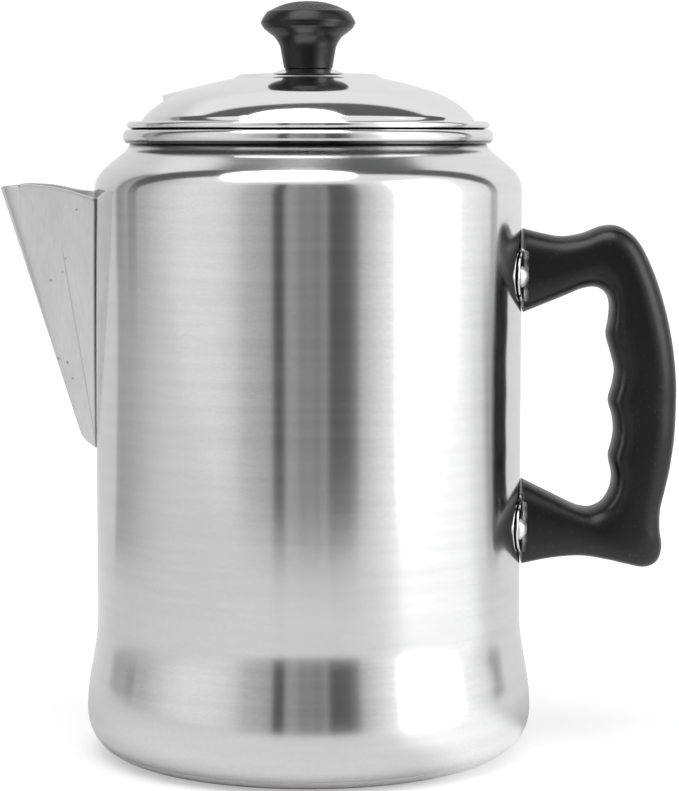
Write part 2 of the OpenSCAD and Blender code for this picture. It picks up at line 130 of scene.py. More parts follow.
class HandleSizes(bpy.types.PropertyGroup):
    """Sizes of the moulded handle and of the plates and rivets that hold it."""
    half_thickness: length("Half thickness", "Half of the handle, side to side", 11 * MM)
    squareness: bpy.props.FloatProperty(
        name="Squareness", description="Exponent of the cross-section: 2 is an ellipse", default=2.7)
    notch_depth: length("Notch", "Depth of the recess over each plate", 1.3 * MM)
    upper_height: length("Upper plate", "Height of the upper plate's middle", 157.5 * MM)
    lower_height: length("Lower plate", "Height of the lower plate's middle", 75 * MM)
    plate_half_width: length("Plate half width", "Half of a plate, side to side", 19.6 * MM)
    plate_half_height: length("Plate half height", "Half of a plate, top to bottom", 8 * MM)
    plate_thickness: length("Plate thickness", "Thickness of a plate", 1 * MM)
    tongue_end: length("Tongue end", "Distance of a tongue's end from the pot's axis", 87.6 * MM)
    tongue_half_height: length("Tongue half height", "Half of a tongue, top to bottom", 5 * MM)
    tongue_half_thickness: length("Tongue half thickness", "Half of a tongue, side to side", 1.2 * MM)
    rivet_turn: turn("Rivet turn", "From the handle's mid-plane to a rivet", 12)
    rivet_radius: length("Rivet head", "Radius of a rivet's head", 3.5 * MM)
    rivet_rise: length("Rivet rise", "Height of a rivet's head", 2.1 * MM)


class LidSizes(bpy.types.PropertyGroup):
    """Sizes of the lid and its knob."""
    sheet: length("Sheet", "Thickness of the lid", 0.9 * MM)
    crown_curve: length("Crown", "Radius of curvature of the crown", 130 * MM)
    crown_top: length("Crown top", "Height that the crown's curve would reach", 223.9 * MM)
    haunch_curve: length("Haunch", "Radius of curvature between crown and edge", 29 * MM)
    edge_radius: length("Edge radius", "Outside radius of the rolled edge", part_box("lid_shell")[1].y)
    vent_slit: length("Vent slit", "Distance of the vent's slit from the axis", 47.6 * MM)
    vent_half_turn: turn("Vent half width", "Half of the vent, as an angle about the axis", 11)
    vent_slope: turn("Vent slope", "Fall of the vent's top towards its lip", 14)
    knob_top: length("Knob top", "Height of the top of the knob", top_of("lid_knob"))
    knob_radius: length("Knob radius", "Largest radius of the knob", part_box("lid_knob")[1].y)
    columns: count("Columns", "Steps round the axis", 256)


class Finishes(bpy.types.PropertyGroup):
    """Colours and polish of the materials."""
    aluminium: colour("Aluminium", "Spun aluminium of the pot", (0.85, 0.85, 0.852))
    bright_aluminium: colour("Bright aluminium", "Polished aluminium of the lid", (0.90, 0.90, 0.90))
    dull_aluminium: colour("Dull aluminium", "Unpolished aluminium inside", (0.70, 0.70, 0.695))
    phenolic: colour("Phenolic", "Black moulding compound", (0.006, 0.006, 0.0065))
    plated_steel: colour("Plated steel", "Bright plates and screw", (0.78, 0.78, 0.78))
    brass: colour("Brass", "Threaded bush", (0.80, 0.58, 0.27))
    pot_roughness: share("Pot roughness", "Roughness of the spun wall", 0.13)
    lid_roughness: share("Lid roughness", "Roughness of the lid", 0.08)
    phenolic_roughness: share("Phenolic roughness", "Roughness of the black parts", 0.30)


class StageSizes(bpy.types.PropertyGroup):
    """The camera and the floor."""
    camera_side: bpy.props.FloatProperty(
        name="Camera side", description="Camera's distance right of the axis", default=0.01023,
        unit="LENGTH")
    camera_distance: length("Camera distance", "Camera's distance in front of the axis", 0.8808)
    camera_height: length("Camera height", "Camera's height over the floor", 0.2030)
    camera_dip: turn("Camera dip", "How far the camera looks down", 5.55)
    lens: bpy.props.FloatProperty(
        name="Lens", description="Focal length of the camera", default=0.1217, unit="CAMERA")
    floor_front: length("Floor front", "How far the floor reaches towards the camera", 0.54)
    floor_size: length("Floor size", "How far the floor reaches to the sides and the back", 3.0)


# ---------------------------------------------------------------- lines

def arc(centre, radii, start, end, steps):
    """Points of an ellipse's arc: the centre plus the radii times cosine and sine, angles in degrees."""
    a = np.radians(np.linspace(start, end, steps + 1))
    return np.stack([centre[0] + radii[0] * np.cos(a), centre[1] + radii[1] * np.sin(a)], axis=1)


def smooth_line(points, steps):
    """Catmull-Rom curve through the points: a cubic over each span, sloped as its neighbours lie."""
    p = np.asarray(points, float)
    p = np.concatenate([p[:1], p, p[-1:]])
    t = (np.arange(steps) / steps).reshape((-1,) + (1,) * (p.ndim - 1))
    spans = [0.5 * (2 * b + (c - a) * t + (2 * a - 5 * b + 4 * c - d) * t ** 2
                    + (3 * b - a - 3 * c + d) * t ** 3)
             for a, b, c, d in zip(p[:-3], p[1:-2], p[2:-1], p[3:])]
    return np.concatenate(spans + [p[-1:]])


def rounded(corners, radius, steps=4):
    """A line whose inner corners are cut back by the radius and bridged by a quadratic curve."""
    p = np.asarray(corners, float)
    t = np.linspace(0, 1, steps + 1)[:, None]
    line = [p[:1]]
    for before, corner, after in zip(p[:-2], p[1:-1], p[2:]):
        reach = [min(radius, 0.45 * np.linalg.norm(q - corner)) for q in (before, after)]
        start = corner + (before - corner) * reach[0] / np.linalg.norm(before - corner)
        end = corner + (after - corner) * reach[1] / np.linalg.norm(after - corner)
        line.append((1 - t) ** 2 * start + 2 * t * (1 - t) * corner + t ** 2 * end)
    return np.concatenate(line + [p[-1:]])


def filled(line, step):
    """The same line with more points on it, so that no two are further apart than the step."""
    run = np.concatenate([[0], np.cumsum(np.linalg.norm(np.diff(line, axis=0), axis=1))])
    parts = [np.linspace(a, b, max(int(math.ceil((b - a) / step)), 1), endpoint=False)
             for a, b in zip(run[:-1], run[1:])]
    places = np.unique(np.concatenate(parts + [run[-1:]]))
    return np.stack([np.interp(places, run, line[:, i]) for i in range(2)], axis=1)


def soft_step(x, low, high):
    """0 below low, 1 above high, and a smooth cubic in between."""
    t = np.clip((x - low) / (high - low), 0, 1)
    return t * t * (3 - 2 * t)


# ---------------------------------------------------------------- surfaces

def revolved(profile, columns, crowding=0.0):
    """Each point (r, z) of the profile goes round Z as r cos a, r sin a, z. The angle a is t + crowding
    sin t for even steps of t, so that a crowding above 0 brings columns closer together at -X."""
    t = np.linspace(0, 2 * np.pi, columns + 1)
    a = t + crowding * np.sin(t)
    r, z = profile[:, :1], profile[:, 1:]
    return np.stack([r * np.cos(a), r * np.sin(a), z + 0 * a], axis=-1)


def grid_mesh(grid):
    """The points of a grid, and the four corners of each of its cells."""
    numbers = np.arange(grid.size // 3).reshape(grid.shape[:2])
    cells = [numbers[:-1, :-1], numbers[:-1, 1:], numbers[1:, 1:], numbers[1:, :-1]]
    return grid.reshape(-1, 3), np.stack(cells, axis=-1).reshape(-1, 4).tolist()


def make_piece(name, grids, blocks=(), sharp=38):
    """One object from grids of points and from blocks, which are points with their faces. It is welded
    where points meet, as at a seam or a pole, and shaded smooth between sharp edges."""
    points, faces, start = [], [], 0
    for some_points, some_faces in [grid_mesh(grid) for grid in grids] + list(blocks):
        points.append(some_points)
        faces.extend([[number + start for number in face] for face in some_faces])
        start += len(some_points)
    mesh = bpy.data.meshes.new(name)
    mesh.from_pydata(np.concatenate(points).tolist(), [], faces)
    work = bmesh.new()
    work.from_mesh(mesh)
    bmesh.ops.remove_doubles(work, verts=work.verts, dist=1e-6)
    bmesh.ops.dissolve_degenerate(work, edges=work.edges, dist=1e-7)
    work.to_mesh(mesh)
    work.free()
    shade(mesh, sharp)
    piece = bpy.data.objects.new(name, mesh)
    bpy.context.scene.collection.objects.link(piece)
    return piece


def shade(mesh, sharp):
    """Smooth shading, with edges sharper than the given number of degrees left crisp."""
    mesh.shade_smooth()
    mesh.set_sharp_from_angle(angle=math.radians(sharp))


def apply_modifiers(piece, sharp=38):
    """Turns what the piece's modifiers make into its own mesh."""
    made = bpy.data.meshes.new_from_object(piece.evaluated_get(bpy.context.evaluated_depsgraph_get()))
    piece.modifiers.clear()
    piece.data = made
    shade(made, sharp)


def thicken(piece, thickness):
    """Gives a sheet its wall on the side away from its faces."""
    modifier = piece.modifiers.new("wall", "SOLIDIFY")
    modifier.thickness = thickness
    modifier.offset = -1
    modifier.use_even_offset = True
    modifier.use_quality_normals = True


def soften(piece, width, degrees=40):
    """Rounds the sharp edges."""
    modifier = piece.modifiers.new("edges", "BEVEL")
    modifier.width = width
    modifier.segments = 2
    modifier.limit_method = "ANGLE"
    modifier.angle_limit = math.radians(degrees)
    modifier.harden_normals = False


def cut(piece, cutter):
    """Takes the cutter's shape out of the piece and removes the cutter."""
    modifier = piece.modifiers.new("cut", "BOOLEAN")
    modifier.operation = "DIFFERENCE"
    modifier.solver = "EXACT"
    modifier.object = cutter
    apply_modifiers(piece)
    bpy.data.objects.remove(cutter)


def rectangle(start, end, height, half):
    """The (x, z) corners of a rectangle that is centred on a height, from X towards Z."""
    return np.array([(start, height - half), (end, height - half),
                     (end, height + half), (start, height + half)])


def prism(outline, low, high):
    """Points and faces of an (x, z) outline carried straight along Y, closed at both ends. The outline
    runs from X towards Z, so that faces point outwards."""
    n = len(outline)
    y = np.repeat([low, high], n)
    ring = np.concatenate([outline, outline])
    points = np.stack([ring[:, 0], y, ring[:, 1]], axis=1)
    i = np.arange(n)
    j = (i + 1) % n
    sides = np.stack([i, i + n, j + n, j], axis=1).tolist()
    return points, sides + [i.tolist(), (i + n)[::-1].tolist()]


def finish_piece(piece, body, slot, material, *nodes):
    """Gives a piece the material of that name and places it in the frame."""
    piece.data.materials.clear()
    piece.data.materials.append(bpy.data.materials[material])
    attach(piece, body)
    if nodes:
        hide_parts(*nodes)
    return piece


# ---------------------------------------------------------------- shader helpers

def add(tree, kind, inputs=None, **settings):
    """A node with its settings, and its inputs set to values or linked to sockets."""
    node = tree.nodes.new(kind)
    for name, value in settings.items():
        setattr(node, name, value)
    for name, value in (inputs or {}).items():
        if isinstance(value, bpy.types.NodeSocket):
            tree.links.new(value, node.inputs[name])
        else:
            node.inputs[name].default_value = value
    return node


def maths(tree, operation, *values):
    """The result of one Math node."""
    return add(tree, "ShaderNodeMath", dict(enumerate(values)), operation=operation).outputs[0]


def weighted(tree, start, *terms):
    """The start plus each term's value times its weight."""
    for value, weight in terms:
        start = maths(tree, "MULTIPLY_ADD", value, weight, start)
    return start


def remap(tree, value, low, high, to_low, to_high):
    """The value taken from one range to another, with soft ends."""
    return add(tree, "ShaderNodeMapRange", {"Value": value, "From Min": low, "From Max": high,
                                            "To Min": to_low, "To Max": to_high},
               interpolation_type="SMOOTHSTEP").outputs["Result"]


def between(tree, value, rise, fall):
    """1 where a value lies between two soft edges, each given by where it starts and ends."""
    return maths(tree, "MULTIPLY", remap(tree, value, *rise, 0.0, 1.0),
                 remap(tree, value, *fall, 1.0, 0.0))


def mixed(tree, factor, a, b):
    """Between a and b by the factor."""
    node = add(tree, "ShaderNodeMix", {"Factor": factor, "A": a, "B": b}, data_type="FLOAT")
    return node.outputs["Result"]


def noise(tree, vector, scale, detail=2.0, roughness=0.5):
    """A noise value."""
    return add(tree, "ShaderNodeTexNoise", {"Vector": vector, "Scale": scale, "Detail": detail,
                                            "Roughness": roughness}).outputs["Fac"]


def separate(tree, vector):
    """The x, y and z of a vector."""
    return add(tree, "ShaderNodeSeparateXYZ", {0: vector}).outputs


def dimmed(tree, base, factor):
    """A colour times a factor."""
    node = add(tree, "ShaderNodeVectorMath", {0: base, "Scale": factor}, operation="SCALE")
    return node.outputs["Vector"]


def scaled(tree, vector, x, y, z):
    """A vector with each part multiplied."""
    return add(tree, "ShaderNodeVectorMath", {0: vector, 1: (x, y, z)},
               operation="MULTIPLY").outputs["Vector"]


def new_group(name, inputs, outputs):
    """A shader node group with named number sockets. Returns its tree, input sockets and output node."""
    tree = bpy.data.node_groups.new(name, "ShaderNodeTree")
    for label, default in inputs:
        socket = tree.interface.new_socket(label, in_out="INPUT", socket_type="NodeSocketFloat")
        socket.default_value = default
    for label in outputs:
        tree.interface.new_socket(label, in_out="OUTPUT", socket_type="NodeSocketFloat")
    entry = tree.nodes.new("NodeGroupInput")
    end = tree.nodes.new("NodeGroupOutput")
    return tree, entry.outputs, end


def put_out(tree, end, **sockets):
    """Links values to a group's outputs. Underscores in a name stand for spaces."""
    for label, socket in sockets.items():
        tree.links.new(socket, end.inputs[label.replace("_", " ").capitalize()])


def object_place(tree):
    """The surface point in the object's own metres."""
    return tree.nodes.new("ShaderNodeTexCoord").outputs["Object"]


def axis_distance(tree, part):
    """Distance from the pot's axis, from a separated place."""
    squares = maths(tree, "MULTIPLY_ADD", part[0], part[0], maths(tree, "MULTIPLY", part[1], part[1]))
    return maths(tree, "SQRT", squares)


def group_node(material, name, **inputs):
    """Places a group in a material with its own values. Underscores in a name stand for spaces."""
    node = material.node_tree.nodes.new("ShaderNodeGroup")
    node.node_tree = bpy.data.node_groups[name]
    for label, value in inputs.items():
        node.inputs[label.replace("_", " ").capitalize()].default_value = value
    return node


# ---------------------------------------------------------------- shared effects

def spun_lines_group():
    """Fine rings left by spinning: noise that is long round Z and short along the wall's own profile."""
    tree, given, end = new_group(
        "spun_lines", [("Pitch", 0.0004), ("Stretch", 0.02)], ["Height", "Band", "Sparkle"])
    part = separate(tree, object_place(tree))
    along = maths(tree, "SUBTRACT", part[2], axis_distance(tree, part))
    around = [maths(tree, "DIVIDE", part[i], given["Stretch"]) for i in range(2)]
    fine = maths(tree, "DIVIDE", along, given["Pitch"])
    lines = add(tree, "ShaderNodeCombineXYZ", {0: around[0], 1: around[1], 2: fine}).outputs[0]
    coarse = scaled(tree, lines, 0.4, 0.4, 0.12)
    grain = scaled(tree, lines, 14.0, 14.0, 0.8)
    put_out(tree, end, height=noise(tree, lines, 1.0, 3.0, 0.65),
            band=noise(tree, coarse, 1.0), sparkle=noise(tree, grain, 1.0, 1.0, 0.6))


def handling_marks_group():
    """Faint wiped patches and short random scuffs from handling."""
    tree, given, end = new_group("handling_marks", [("Size", 0.03)], ["Patch", "Scuff"])
    place = object_place(tree)
    unit = maths(tree, "DIVIDE", 1.0, given["Size"])
    patch = noise(tree, place, unit, 3.0, 0.55)
    wave = scaled(tree, place, 1.0, 1.0, 0.16)
    thin = noise(tree, wave, maths(tree, "MULTIPLY", unit, 26.0))
    ridge = maths(tree, "ABSOLUTE", maths(tree, "SUBTRACT", thin, 0.5))
    scuff = maths(tree, "MULTIPLY", remap(tree, ridge, 0.0, 0.012, 1.0, 0.0),
                  remap(tree, patch, 0.55, 0.7, 0.0, 1.0))
    put_out(tree, end, patch=patch, scuff=scuff)


def moulded_skin_group():
    """The slightly uneven skin of a moulding, with pores and fine dust."""
    tree, given, end = new_group("moulded_skin", [("Grain", 0.0007)], ["Height", "Dust", "Sheen"])
    place = object_place(tree)
    unit = maths(tree, "DIVIDE", 1.0, given["Grain"])
    fine = noise(tree, place, unit, 2.0, 0.6)
    slow = noise(tree, place, maths(tree, "MULTIPLY", unit, 0.03))
    specks = noise(tree, place, maths(tree, "MULTIPLY", unit, 0.7), 0.0)
    put_out(tree, end, height=fine, dust=remap(tree, specks, 0.70, 0.78, 0.0, 1.0), sheen=slow)


def painted_seam_shade_group():
    """Painted shade in a seam that runs round the axis: full from bottom to top of a height or of a
    radius, and fading over a distance on both sides."""
    tree, given, end = new_group(
        "painted_seam_shade", [("Place", 0.2), ("Bottom", 0.2), ("Top", 0.201), ("Fade below", 0.001),
                       ("Fade above", 0.0005)], ["Shade"])
    below = maths(tree, "SUBTRACT", given["Bottom"], given["Place"])
    above = maths(tree, "SUBTRACT", given["Place"], given["Top"])
    outside = maths(tree, "MAXIMUM", maths(tree, "DIVIDE", below, given["Fade below"]),
                    maths(tree, "DIVIDE", above, given["Fade above"]))
    put_out(tree, end, shade=remap(tree, outside, 0.0, 1.0, 0.0, 1.0))


def with_painted_seam_shade(material, base, seams, place, darkest=0.08):
    """The base colour darkened by painted shade inside each seam, given in millimetres as bottom, top,
    fade below and fade above."""
    tree = material.node_tree
    for bottom, top, below, above in seams:
        seam = group_node(material, "painted_seam_shade", bottom=bottom * MM, top=top * MM,
                          fade_below=below * MM, fade_above=above * MM)
        tree.links.new(place, seam.inputs["Place"])
        # Painted shade: the colour is kept in full outside the seam and dimmed towards darkest inside it.
        keep = maths(tree, "MULTIPLY_ADD", seam.outputs["Shade"], 1 - darkest, darkest)
        base = dimmed(tree, base, keep)
    return base


def tinted(tree, base, value, low, high):
    """The base colour made lighter or darker by a value from 0 to 1."""
    return dimmed(tree, tuple(base), remap(tree, value, 0.25, 0.75, low, high))


def bump(tree, height, depth, normal=None):
    """A bump of a real depth in metres, on top of another normal if one is given."""
    inputs = {"Height": height, "Distance": depth}
    if normal is not None:
        inputs["Normal"] = normal
    return add(tree, "ShaderNodeBump", inputs).outputs["Normal"]


def new_material(name):
    """An empty node material with a Principled shader."""
    material = bpy.data.materials.new(name)
    material.use_nodes = True
    return material, material.node_tree, material.node_tree.nodes["Principled BSDF"]


# ---------------------------------------------------------------- materials

def inside_mask(tree, pot):
    """1 on the inside of the pot, 0 on its outside. The two are told apart by a distance from the axis
    that runs in the middle of the sheet, and draws in along the shoulder to the neck."""
    part = separate(tree, object_place(tree))
    half = 0.5 * pot.sheet
    draw_start, draw_length = pot.shoulder_height + 1.7 * MM, 15 * MM
    middle = remap(tree, part[2], draw_start, draw_start + draw_length,
                   pot.wall_radius - half, pot.neck_radius - half)
    within = maths(tree, "LESS_THAN", axis_distance(tree, part), middle)
    return maths(tree, "MULTIPLY", within, maths(tree, "GREATER_THAN", part[2], 0.9 * pot.sheet))


def dulled_inside(material, pot, shade, roughness, metallic):
    """Gives the inside of the pot the dull, scattering face of metal that is never polished."""
    tree = material.node_tree
    inside = inside_mask(tree, pot)
    inputs = tree.nodes["Principled BSDF"].inputs
    outer_shade, outer_roughness = [inputs[name].links[0].from_socket
                                    for name in ("Base Color", "Roughness")]
    mix = add(tree, "ShaderNodeMix", {"Factor": inside, "A": outer_shade, "B": (*shade, 1)},
              data_type="RGBA")
    tree.links.new(mix.outputs["Result"], inputs["Base Color"])
    tree.links.new(mixed(tree, inside, outer_roughness, roughness), inputs["Roughness"])
    tree.links.new(mixed(tree, inside, 1.0, metallic), inputs["Metallic"])


def spun_aluminium(name, base, roughness, anisotropy, pitch=0.0004, depth=8e-7, contrast=0.04,
                   variation=0.03, seams=()):
    """Metal finished on a lathe: rings in the bump, bands in the tone, wiped patches in the roughness."""
    material, tree, shader = new_material(name)
    rings = group_node(material, "spun_lines", pitch=pitch).outputs
    marks = group_node(material, "handling_marks").outputs
    link = tree.links.new
    tone = weighted(tree, 0.0, (rings["Band"], 0.6), (rings["Sparkle"], 0.4))
    toned = tinted(tree, base, tone, 1 - contrast, 1 + 0.6 * contrast)
    height = separate(tree, object_place(tree))[2]
    # The seams darken the colour with painted shade.
    link(with_painted_seam_shade(material, toned, seams, height), shader.inputs["Base Color"])
    worn = weighted(tree, roughness - variation, (marks["Patch"], variation),
                    (rings["Band"], variation), (marks["Scuff"], 0.04))
    link(worn, shader.inputs["Roughness"])
    link(bump(tree, weighted(tree, rings["Height"], (marks["Scuff"], 0.5)), depth),
         shader.inputs["Normal"])
    shader.inputs["Metallic"].default_value = 1.0
    shader.inputs["Anisotropic"].default_value = anisotropy
    shader.inputs["Anisotropic Rotation"].default_value = 0.25
    return material


def spout_fold_shade_and_pits(tree, place, part):
    """How much the spout's tone is lost: painted shade along a fold mark, a straight line on each flank
    that leans out from the wall as it goes up and ends below the top, and in small pits where a fine
    noise peaks."""
    lean, start = -0.152, -54.8 * MM
    fold_shade_strength, pit_strength = 0.22, 0.5
    # Painted shade along the fold, in place of the bend's own shading.
    fold_x = maths(tree, "MULTIPLY_ADD", part[2], lean, start)
    off_fold = maths(tree, "ABSOLUTE", maths(tree, "SUBTRACT", part[0], fold_x))
    fold = maths(tree, "MULTIPLY", remap(tree, off_fold, 0.05 * MM, 0.35 * MM, fold_shade_strength, 0.0),
                 remap(tree, part[2], 160 * MM, 170 * MM, 1.0, 0.0))
    pits = remap(tree, noise(tree, place, 420.0, 1.0), 0.74, 0.765, 0.0, pit_strength)
    return maths(tree, "MAXIMUM", fold, pits)


def drawn_spout_metal(name, base, roughness):
    """Bent sheet polished along its length: streaks that run up the cone, cloudy and wiped patches,
    small pits, painted shade along a fold mark, and painted shade where it meets the wall."""
    material, tree, shader = new_material(name)
    marks = group_node(material, "handling_marks", size=0.02).outputs
    place = object_place(tree)
    part = separate(tree, place)
    streaks = noise(tree, scaled(tree, place, 1500.0, 1500.0, 60.0), 1.0, 3.0, 0.6)
    clouds = noise(tree, scaled(tree, place, 90.0, 90.0, 45.0), 1.0, 3.0, 0.55)
    link = tree.links.new
    toned = tinted(tree, base, weighted(tree, 0.0, (streaks, 0.5), (clouds, 0.5)), 0.90, 1.04)
    # The colour is dimmed by painted shade along the fold mark, and darker in the small pits.
    worn = dimmed(tree, toned, maths(tree, "SUBTRACT", 1.0, spout_fold_shade_and_pits(tree, place, part)))
    # Painted shade in the seam where the spout meets the wall.
    wall_seam = [(60, 70.25, 1, 0.7)]
    link(with_painted_seam_shade(material, worn, wall_seam, axis_distance(tree, part), 0.25),
         shader.inputs["Base Color"])
    link(weighted(tree, roughness - 0.075, (marks["Patch"], 0.1), (streaks, 0.05)),
         shader.inputs["Roughness"])
    link(bump(tree, weighted(tree, streaks, (marks["Scuff"], 0.5)), 2e-6), shader.inputs["Normal"])
    shader.inputs["Metallic"].default_value = 0.8
    return material


def black_phenolic(name, base, roughness, seam=False):
    """Satin black moulding compound. The handle has a rubbed-down parting line in its mid-plane."""
    material, tree, shader = new_material(name)
    skin = group_node(material, "moulded_skin").outputs
    marks = group_node(material, "handling_marks", size=0.016).outputs
    link = tree.links.new
    dust_cover, dust_colour = 0.1, (0.10, 0.10, 0.10, 1)
    dusty = maths(tree, "MULTIPLY", skin["Dust"], dust_cover)
    pale = add(tree, "ShaderNodeMix", {"Factor": dusty, "A": (*base, 1), "B": dust_colour},
               data_type="RGBA")
    link(pale.outputs["Result"], shader.inputs["Base Color"])
    link(weighted(tree, roughness - 0.12, (skin["Sheen"], 0.14), (marks["Patch"], 0.10)),
         shader.inputs["Roughness"])
    normal = bump(tree, weighted(tree, skin["Height"], (marks["Scuff"], -0.6)), 1.2e-5)
    if seam:
        off_middle = maths(tree, "ABSOLUTE", separate(tree, object_place(tree))[1])
        normal = bump(tree, remap(tree, off_middle, 0.0, 0.35 * MM, 1.0, 0.0), 6e-5, normal)
    link(normal, shader.inputs["Normal"])
    shader.inputs["Specular IOR Level"].default_value = 0.4
    return material


def bright_metal(name, base, roughness, grain=0.0006, seams=()):
    """Plated or tumbled metal of the small parts: pitted very finely, with uneven polish. Its seams of
    painted shade are distances from the pot's axis."""
    material, tree, shader = new_material(name)
    skin = group_node(material, "moulded_skin", grain=grain).outputs
    link = tree.links.new
    distance = axis_distance(tree, separate(tree, object_place(tree)))
    toned = tinted(tree, base, skin["Sheen"], 0.92, 1.04)
    link(with_painted_seam_shade(material, toned, seams, distance), shader.inputs["Base Color"])
    link(weighted(tree, roughness - 0.06, (skin["Sheen"], 0.12)), shader.inputs["Roughness"])
    link(bump(tree, skin["Height"], 4e-6), shader.inputs["Normal"])
    shader.inputs["Metallic"].default_value = 1.0
    return material


def make_materials(finishes, pot):
    """Every effect and material of the percolator."""
    spun_lines_group()
    handling_marks_group()
    moulded_skin_group()
    painted_seam_shade_group()
    # Painted shade in the crevice under the rim's bead.
    wall = spun_aluminium("spun_pot_aluminium", finishes.aluminium, finishes.pot_roughness, 0.6,
                          contrast=0.055, seams=[(200.1, 201.1, 1.4, 0.8)])
    dulled_inside(wall, pot, finishes.dull_aluminium, 0.45, 0.35)
    # Painted shade in the seam where the lid's edge sits on the rim.
    spun_aluminium("polished_lid_aluminium", finishes.bright_aluminium, finishes.lid_roughness, 0.4,
                   pitch=0.0006, depth=3e-7, contrast=0.015, variation=0.02,
                   seams=[(204.9, 205.45, 0.5, 0.3)])
    spun_aluminium("inner_aluminium", finishes.dull_aluminium, 0.34, 0.5, depth=3e-6, contrast=0.08)
    drawn_spout_metal("drawn_spout_aluminium", finishes.aluminium, 0.2)
    black_phenolic("black_phenolic_handle", finishes.phenolic, finishes.phenolic_roughness, seam=True)
    black_phenolic("black_phenolic_knob", finishes.phenolic, finishes.phenolic_roughness)
    # Painted shade where the plates sit on the wall.
    bright_metal("plated_plate_steel", finishes.plated_steel, 0.14, seams=[(60, 70.4, 1, 0.15)])
    bright_metal("rivet_aluminium", finishes.dull_aluminium, 0.34)
    bright_metal("screw_steel", finishes.plated_steel, 0.3)
    bright_metal("turned_brass", finishes.brass, 0.28)


# ---------------------------------------------------------------- pot body

def pot_side(sizes, inwards):
    """The wall's profile: a quarter ellipse at the base, half a cosine wave in from the bulge to the
    straight wall, and the shoulder's arc. All of it is moved inwards by the given distance."""
    corner = (12.8 * MM, 14.1 * MM)
    curve = sizes.shoulder_curve
    t = np.linspace(0, 1, 33)[1:]
    draw_in = (sizes.bulge_radius - sizes.wall_radius) * (1 - np.cos(np.pi * t)) / 2
    wave = np.stack([sizes.bulge_radius - inwards - draw_in,
                     corner[1] + (sizes.waist_height - corner[1]) * t], axis=1)
    return np.concatenate([
        arc((sizes.bulge_radius - corner[0], corner[1]),
            (corner[0] - inwards, corner[1] - inwards), -90, 0, 24),
        wave,
        arc((sizes.wall_radius - curve, sizes.shoulder_height),
            (curve - inwards, curve - inwards), 0, math.degrees(sizes.shoulder_turn), 20)])


def pot_profile(sizes):
    """The section of the whole shell, from the middle of the base out, up to the rim and back inside.
    Above the shoulder's arc the sheet runs straight in to the neck and bends up in a fillet."""
    curve, angle, sheet = sizes.shoulder_curve, sizes.shoulder_turn, sizes.sheet
    end_r = sizes.wall_radius - curve * (1 - math.cos(angle))
    neck_z = (sizes.shoulder_height + curve * math.sin(angle)
              + (end_r - sizes.neck_radius) / math.tan(angle))
    fillet, fillet_end = 5 * MM, 193.5
    fillet_z = neck_z + fillet * math.tan(angle / 2)
    neck = arc((sizes.neck_radius + fillet, fillet_z), (fillet, fillet),
               180 + math.degrees(angle), fillet_end, 10)
    bead, lip = (1.8 * MM, 2.3 * MM), 1.6 * MM
    inner_r = sizes.neck_radius - sheet
    inner_neck = (inner_r, neck_z - sheet * math.tan(angle / 2))
    recess_r, recess_z, step_r, flat_r = 50 * MM, 0.8 * MM, 52 * MM, 58 * MM
    base = rounded([(0, recess_z), (recess_r, recess_z), (step_r, 0), (flat_r, 0)], 0.8 * MM)
    inside_base = rounded([(flat_r, sheet), (step_r, sheet), (recess_r, recess_z + sheet),
                           (0, recess_z + sheet)], 0.8 * MM)
    return np.concatenate([
        base, pot_side(sizes, 0), neck,
        arc((sizes.rim_radius - bead[0], sizes.rim_top - bead[1]), bead, -105, 90, 24),
        arc((inner_r + lip, sizes.rim_top - lip), (lip, lip), 90, 180, 8),
        [inner_neck], pot_side(sizes, sheet)[::-1], inside_base])


def strainer_cutter(pot, spout):
    """One mesh of round pins that cut the rows of holes in the wall behind the spout. A row has as many
    holes as the spout's width leaves room for at its height."""
    rows, first_row, row_pitch, column_pitch = 10, 11 * MM, 7 * MM, 6.5 * MM
    side_margin, room_per_hole, pin_start, pin_end = 4 * MM, 3.4 * MM, 60 * MM, 75 * MM
    a = np.radians(np.arange(0, 360, 18))
    pins = []
    for z in spout.foot_height + first_row + np.arange(rows) * row_pitch:
        width = spout.half_width * (z - spout.point_height) / (spout.tip_height - spout.point_height)
        holes = 1 + int((width - side_margin) // room_per_hole)
        for i in range(holes):
            middle = (i - (holes - 1) / 2) * column_pitch
            outline = np.stack([middle + pot.strainer_radius * np.cos(a),
                                z + pot.strainer_radius * np.sin(a)], axis=1)
            pin, faces = prism(outline, pin_start, pin_end)
            pins.append((np.stack([-pin[:, 1], pin[:, 0], pin[:, 2]], axis=1), faces))
    return make_piece("strainer_cutter", [], pins)


# ---------------------------------------------------------------- spout

def spout_section(sizes, wall_radius, s, flank_steps, nose_steps):
    """The spout's outline at a share s of its full size: a straight flank from the wall, an arc round
    the nose and the other flank. Each flank ends where its line meets the pot's round wall."""
    lean = sizes.lean
    nose, reach, half = sizes.nose_radius, sizes.reach, sizes.half_width
    tangent = (-(reach - nose) - nose * math.sin(lean), nose * math.cos(lean))
    slope = (half - tangent[1]) / -tangent[0]
    meet = wall_radius + sizes.clearance
    b = 2 * wall_radius - 2 * s * half * slope
    c = wall_radius ** 2 - meet ** 2 + (s * half) ** 2
    at_wall = (b - np.sqrt(b ** 2 - 4 * (1 + slope ** 2) * c)) / (2 * (1 + slope ** 2))
    f = np.linspace(0, 1, flank_steps + 1)
    flank_x = at_wall + f * (s * tangent[0] - at_wall)
    flank_y = s * half + slope * flank_x
    a = np.linspace(math.pi / 2 + lean, 3 * math.pi / 2 - lean, nose_steps + 1)[1:-1]
    nose_x = s * (nose * np.cos(a) - (reach - nose))
    nose_y = s * nose * np.sin(a)
    x = np.concatenate([flank_x, nose_x, flank_x[::-1]]) - wall_radius
    y = np.concatenate([flank_y, nose_y, -flank_y[::-1]])
    return x, y


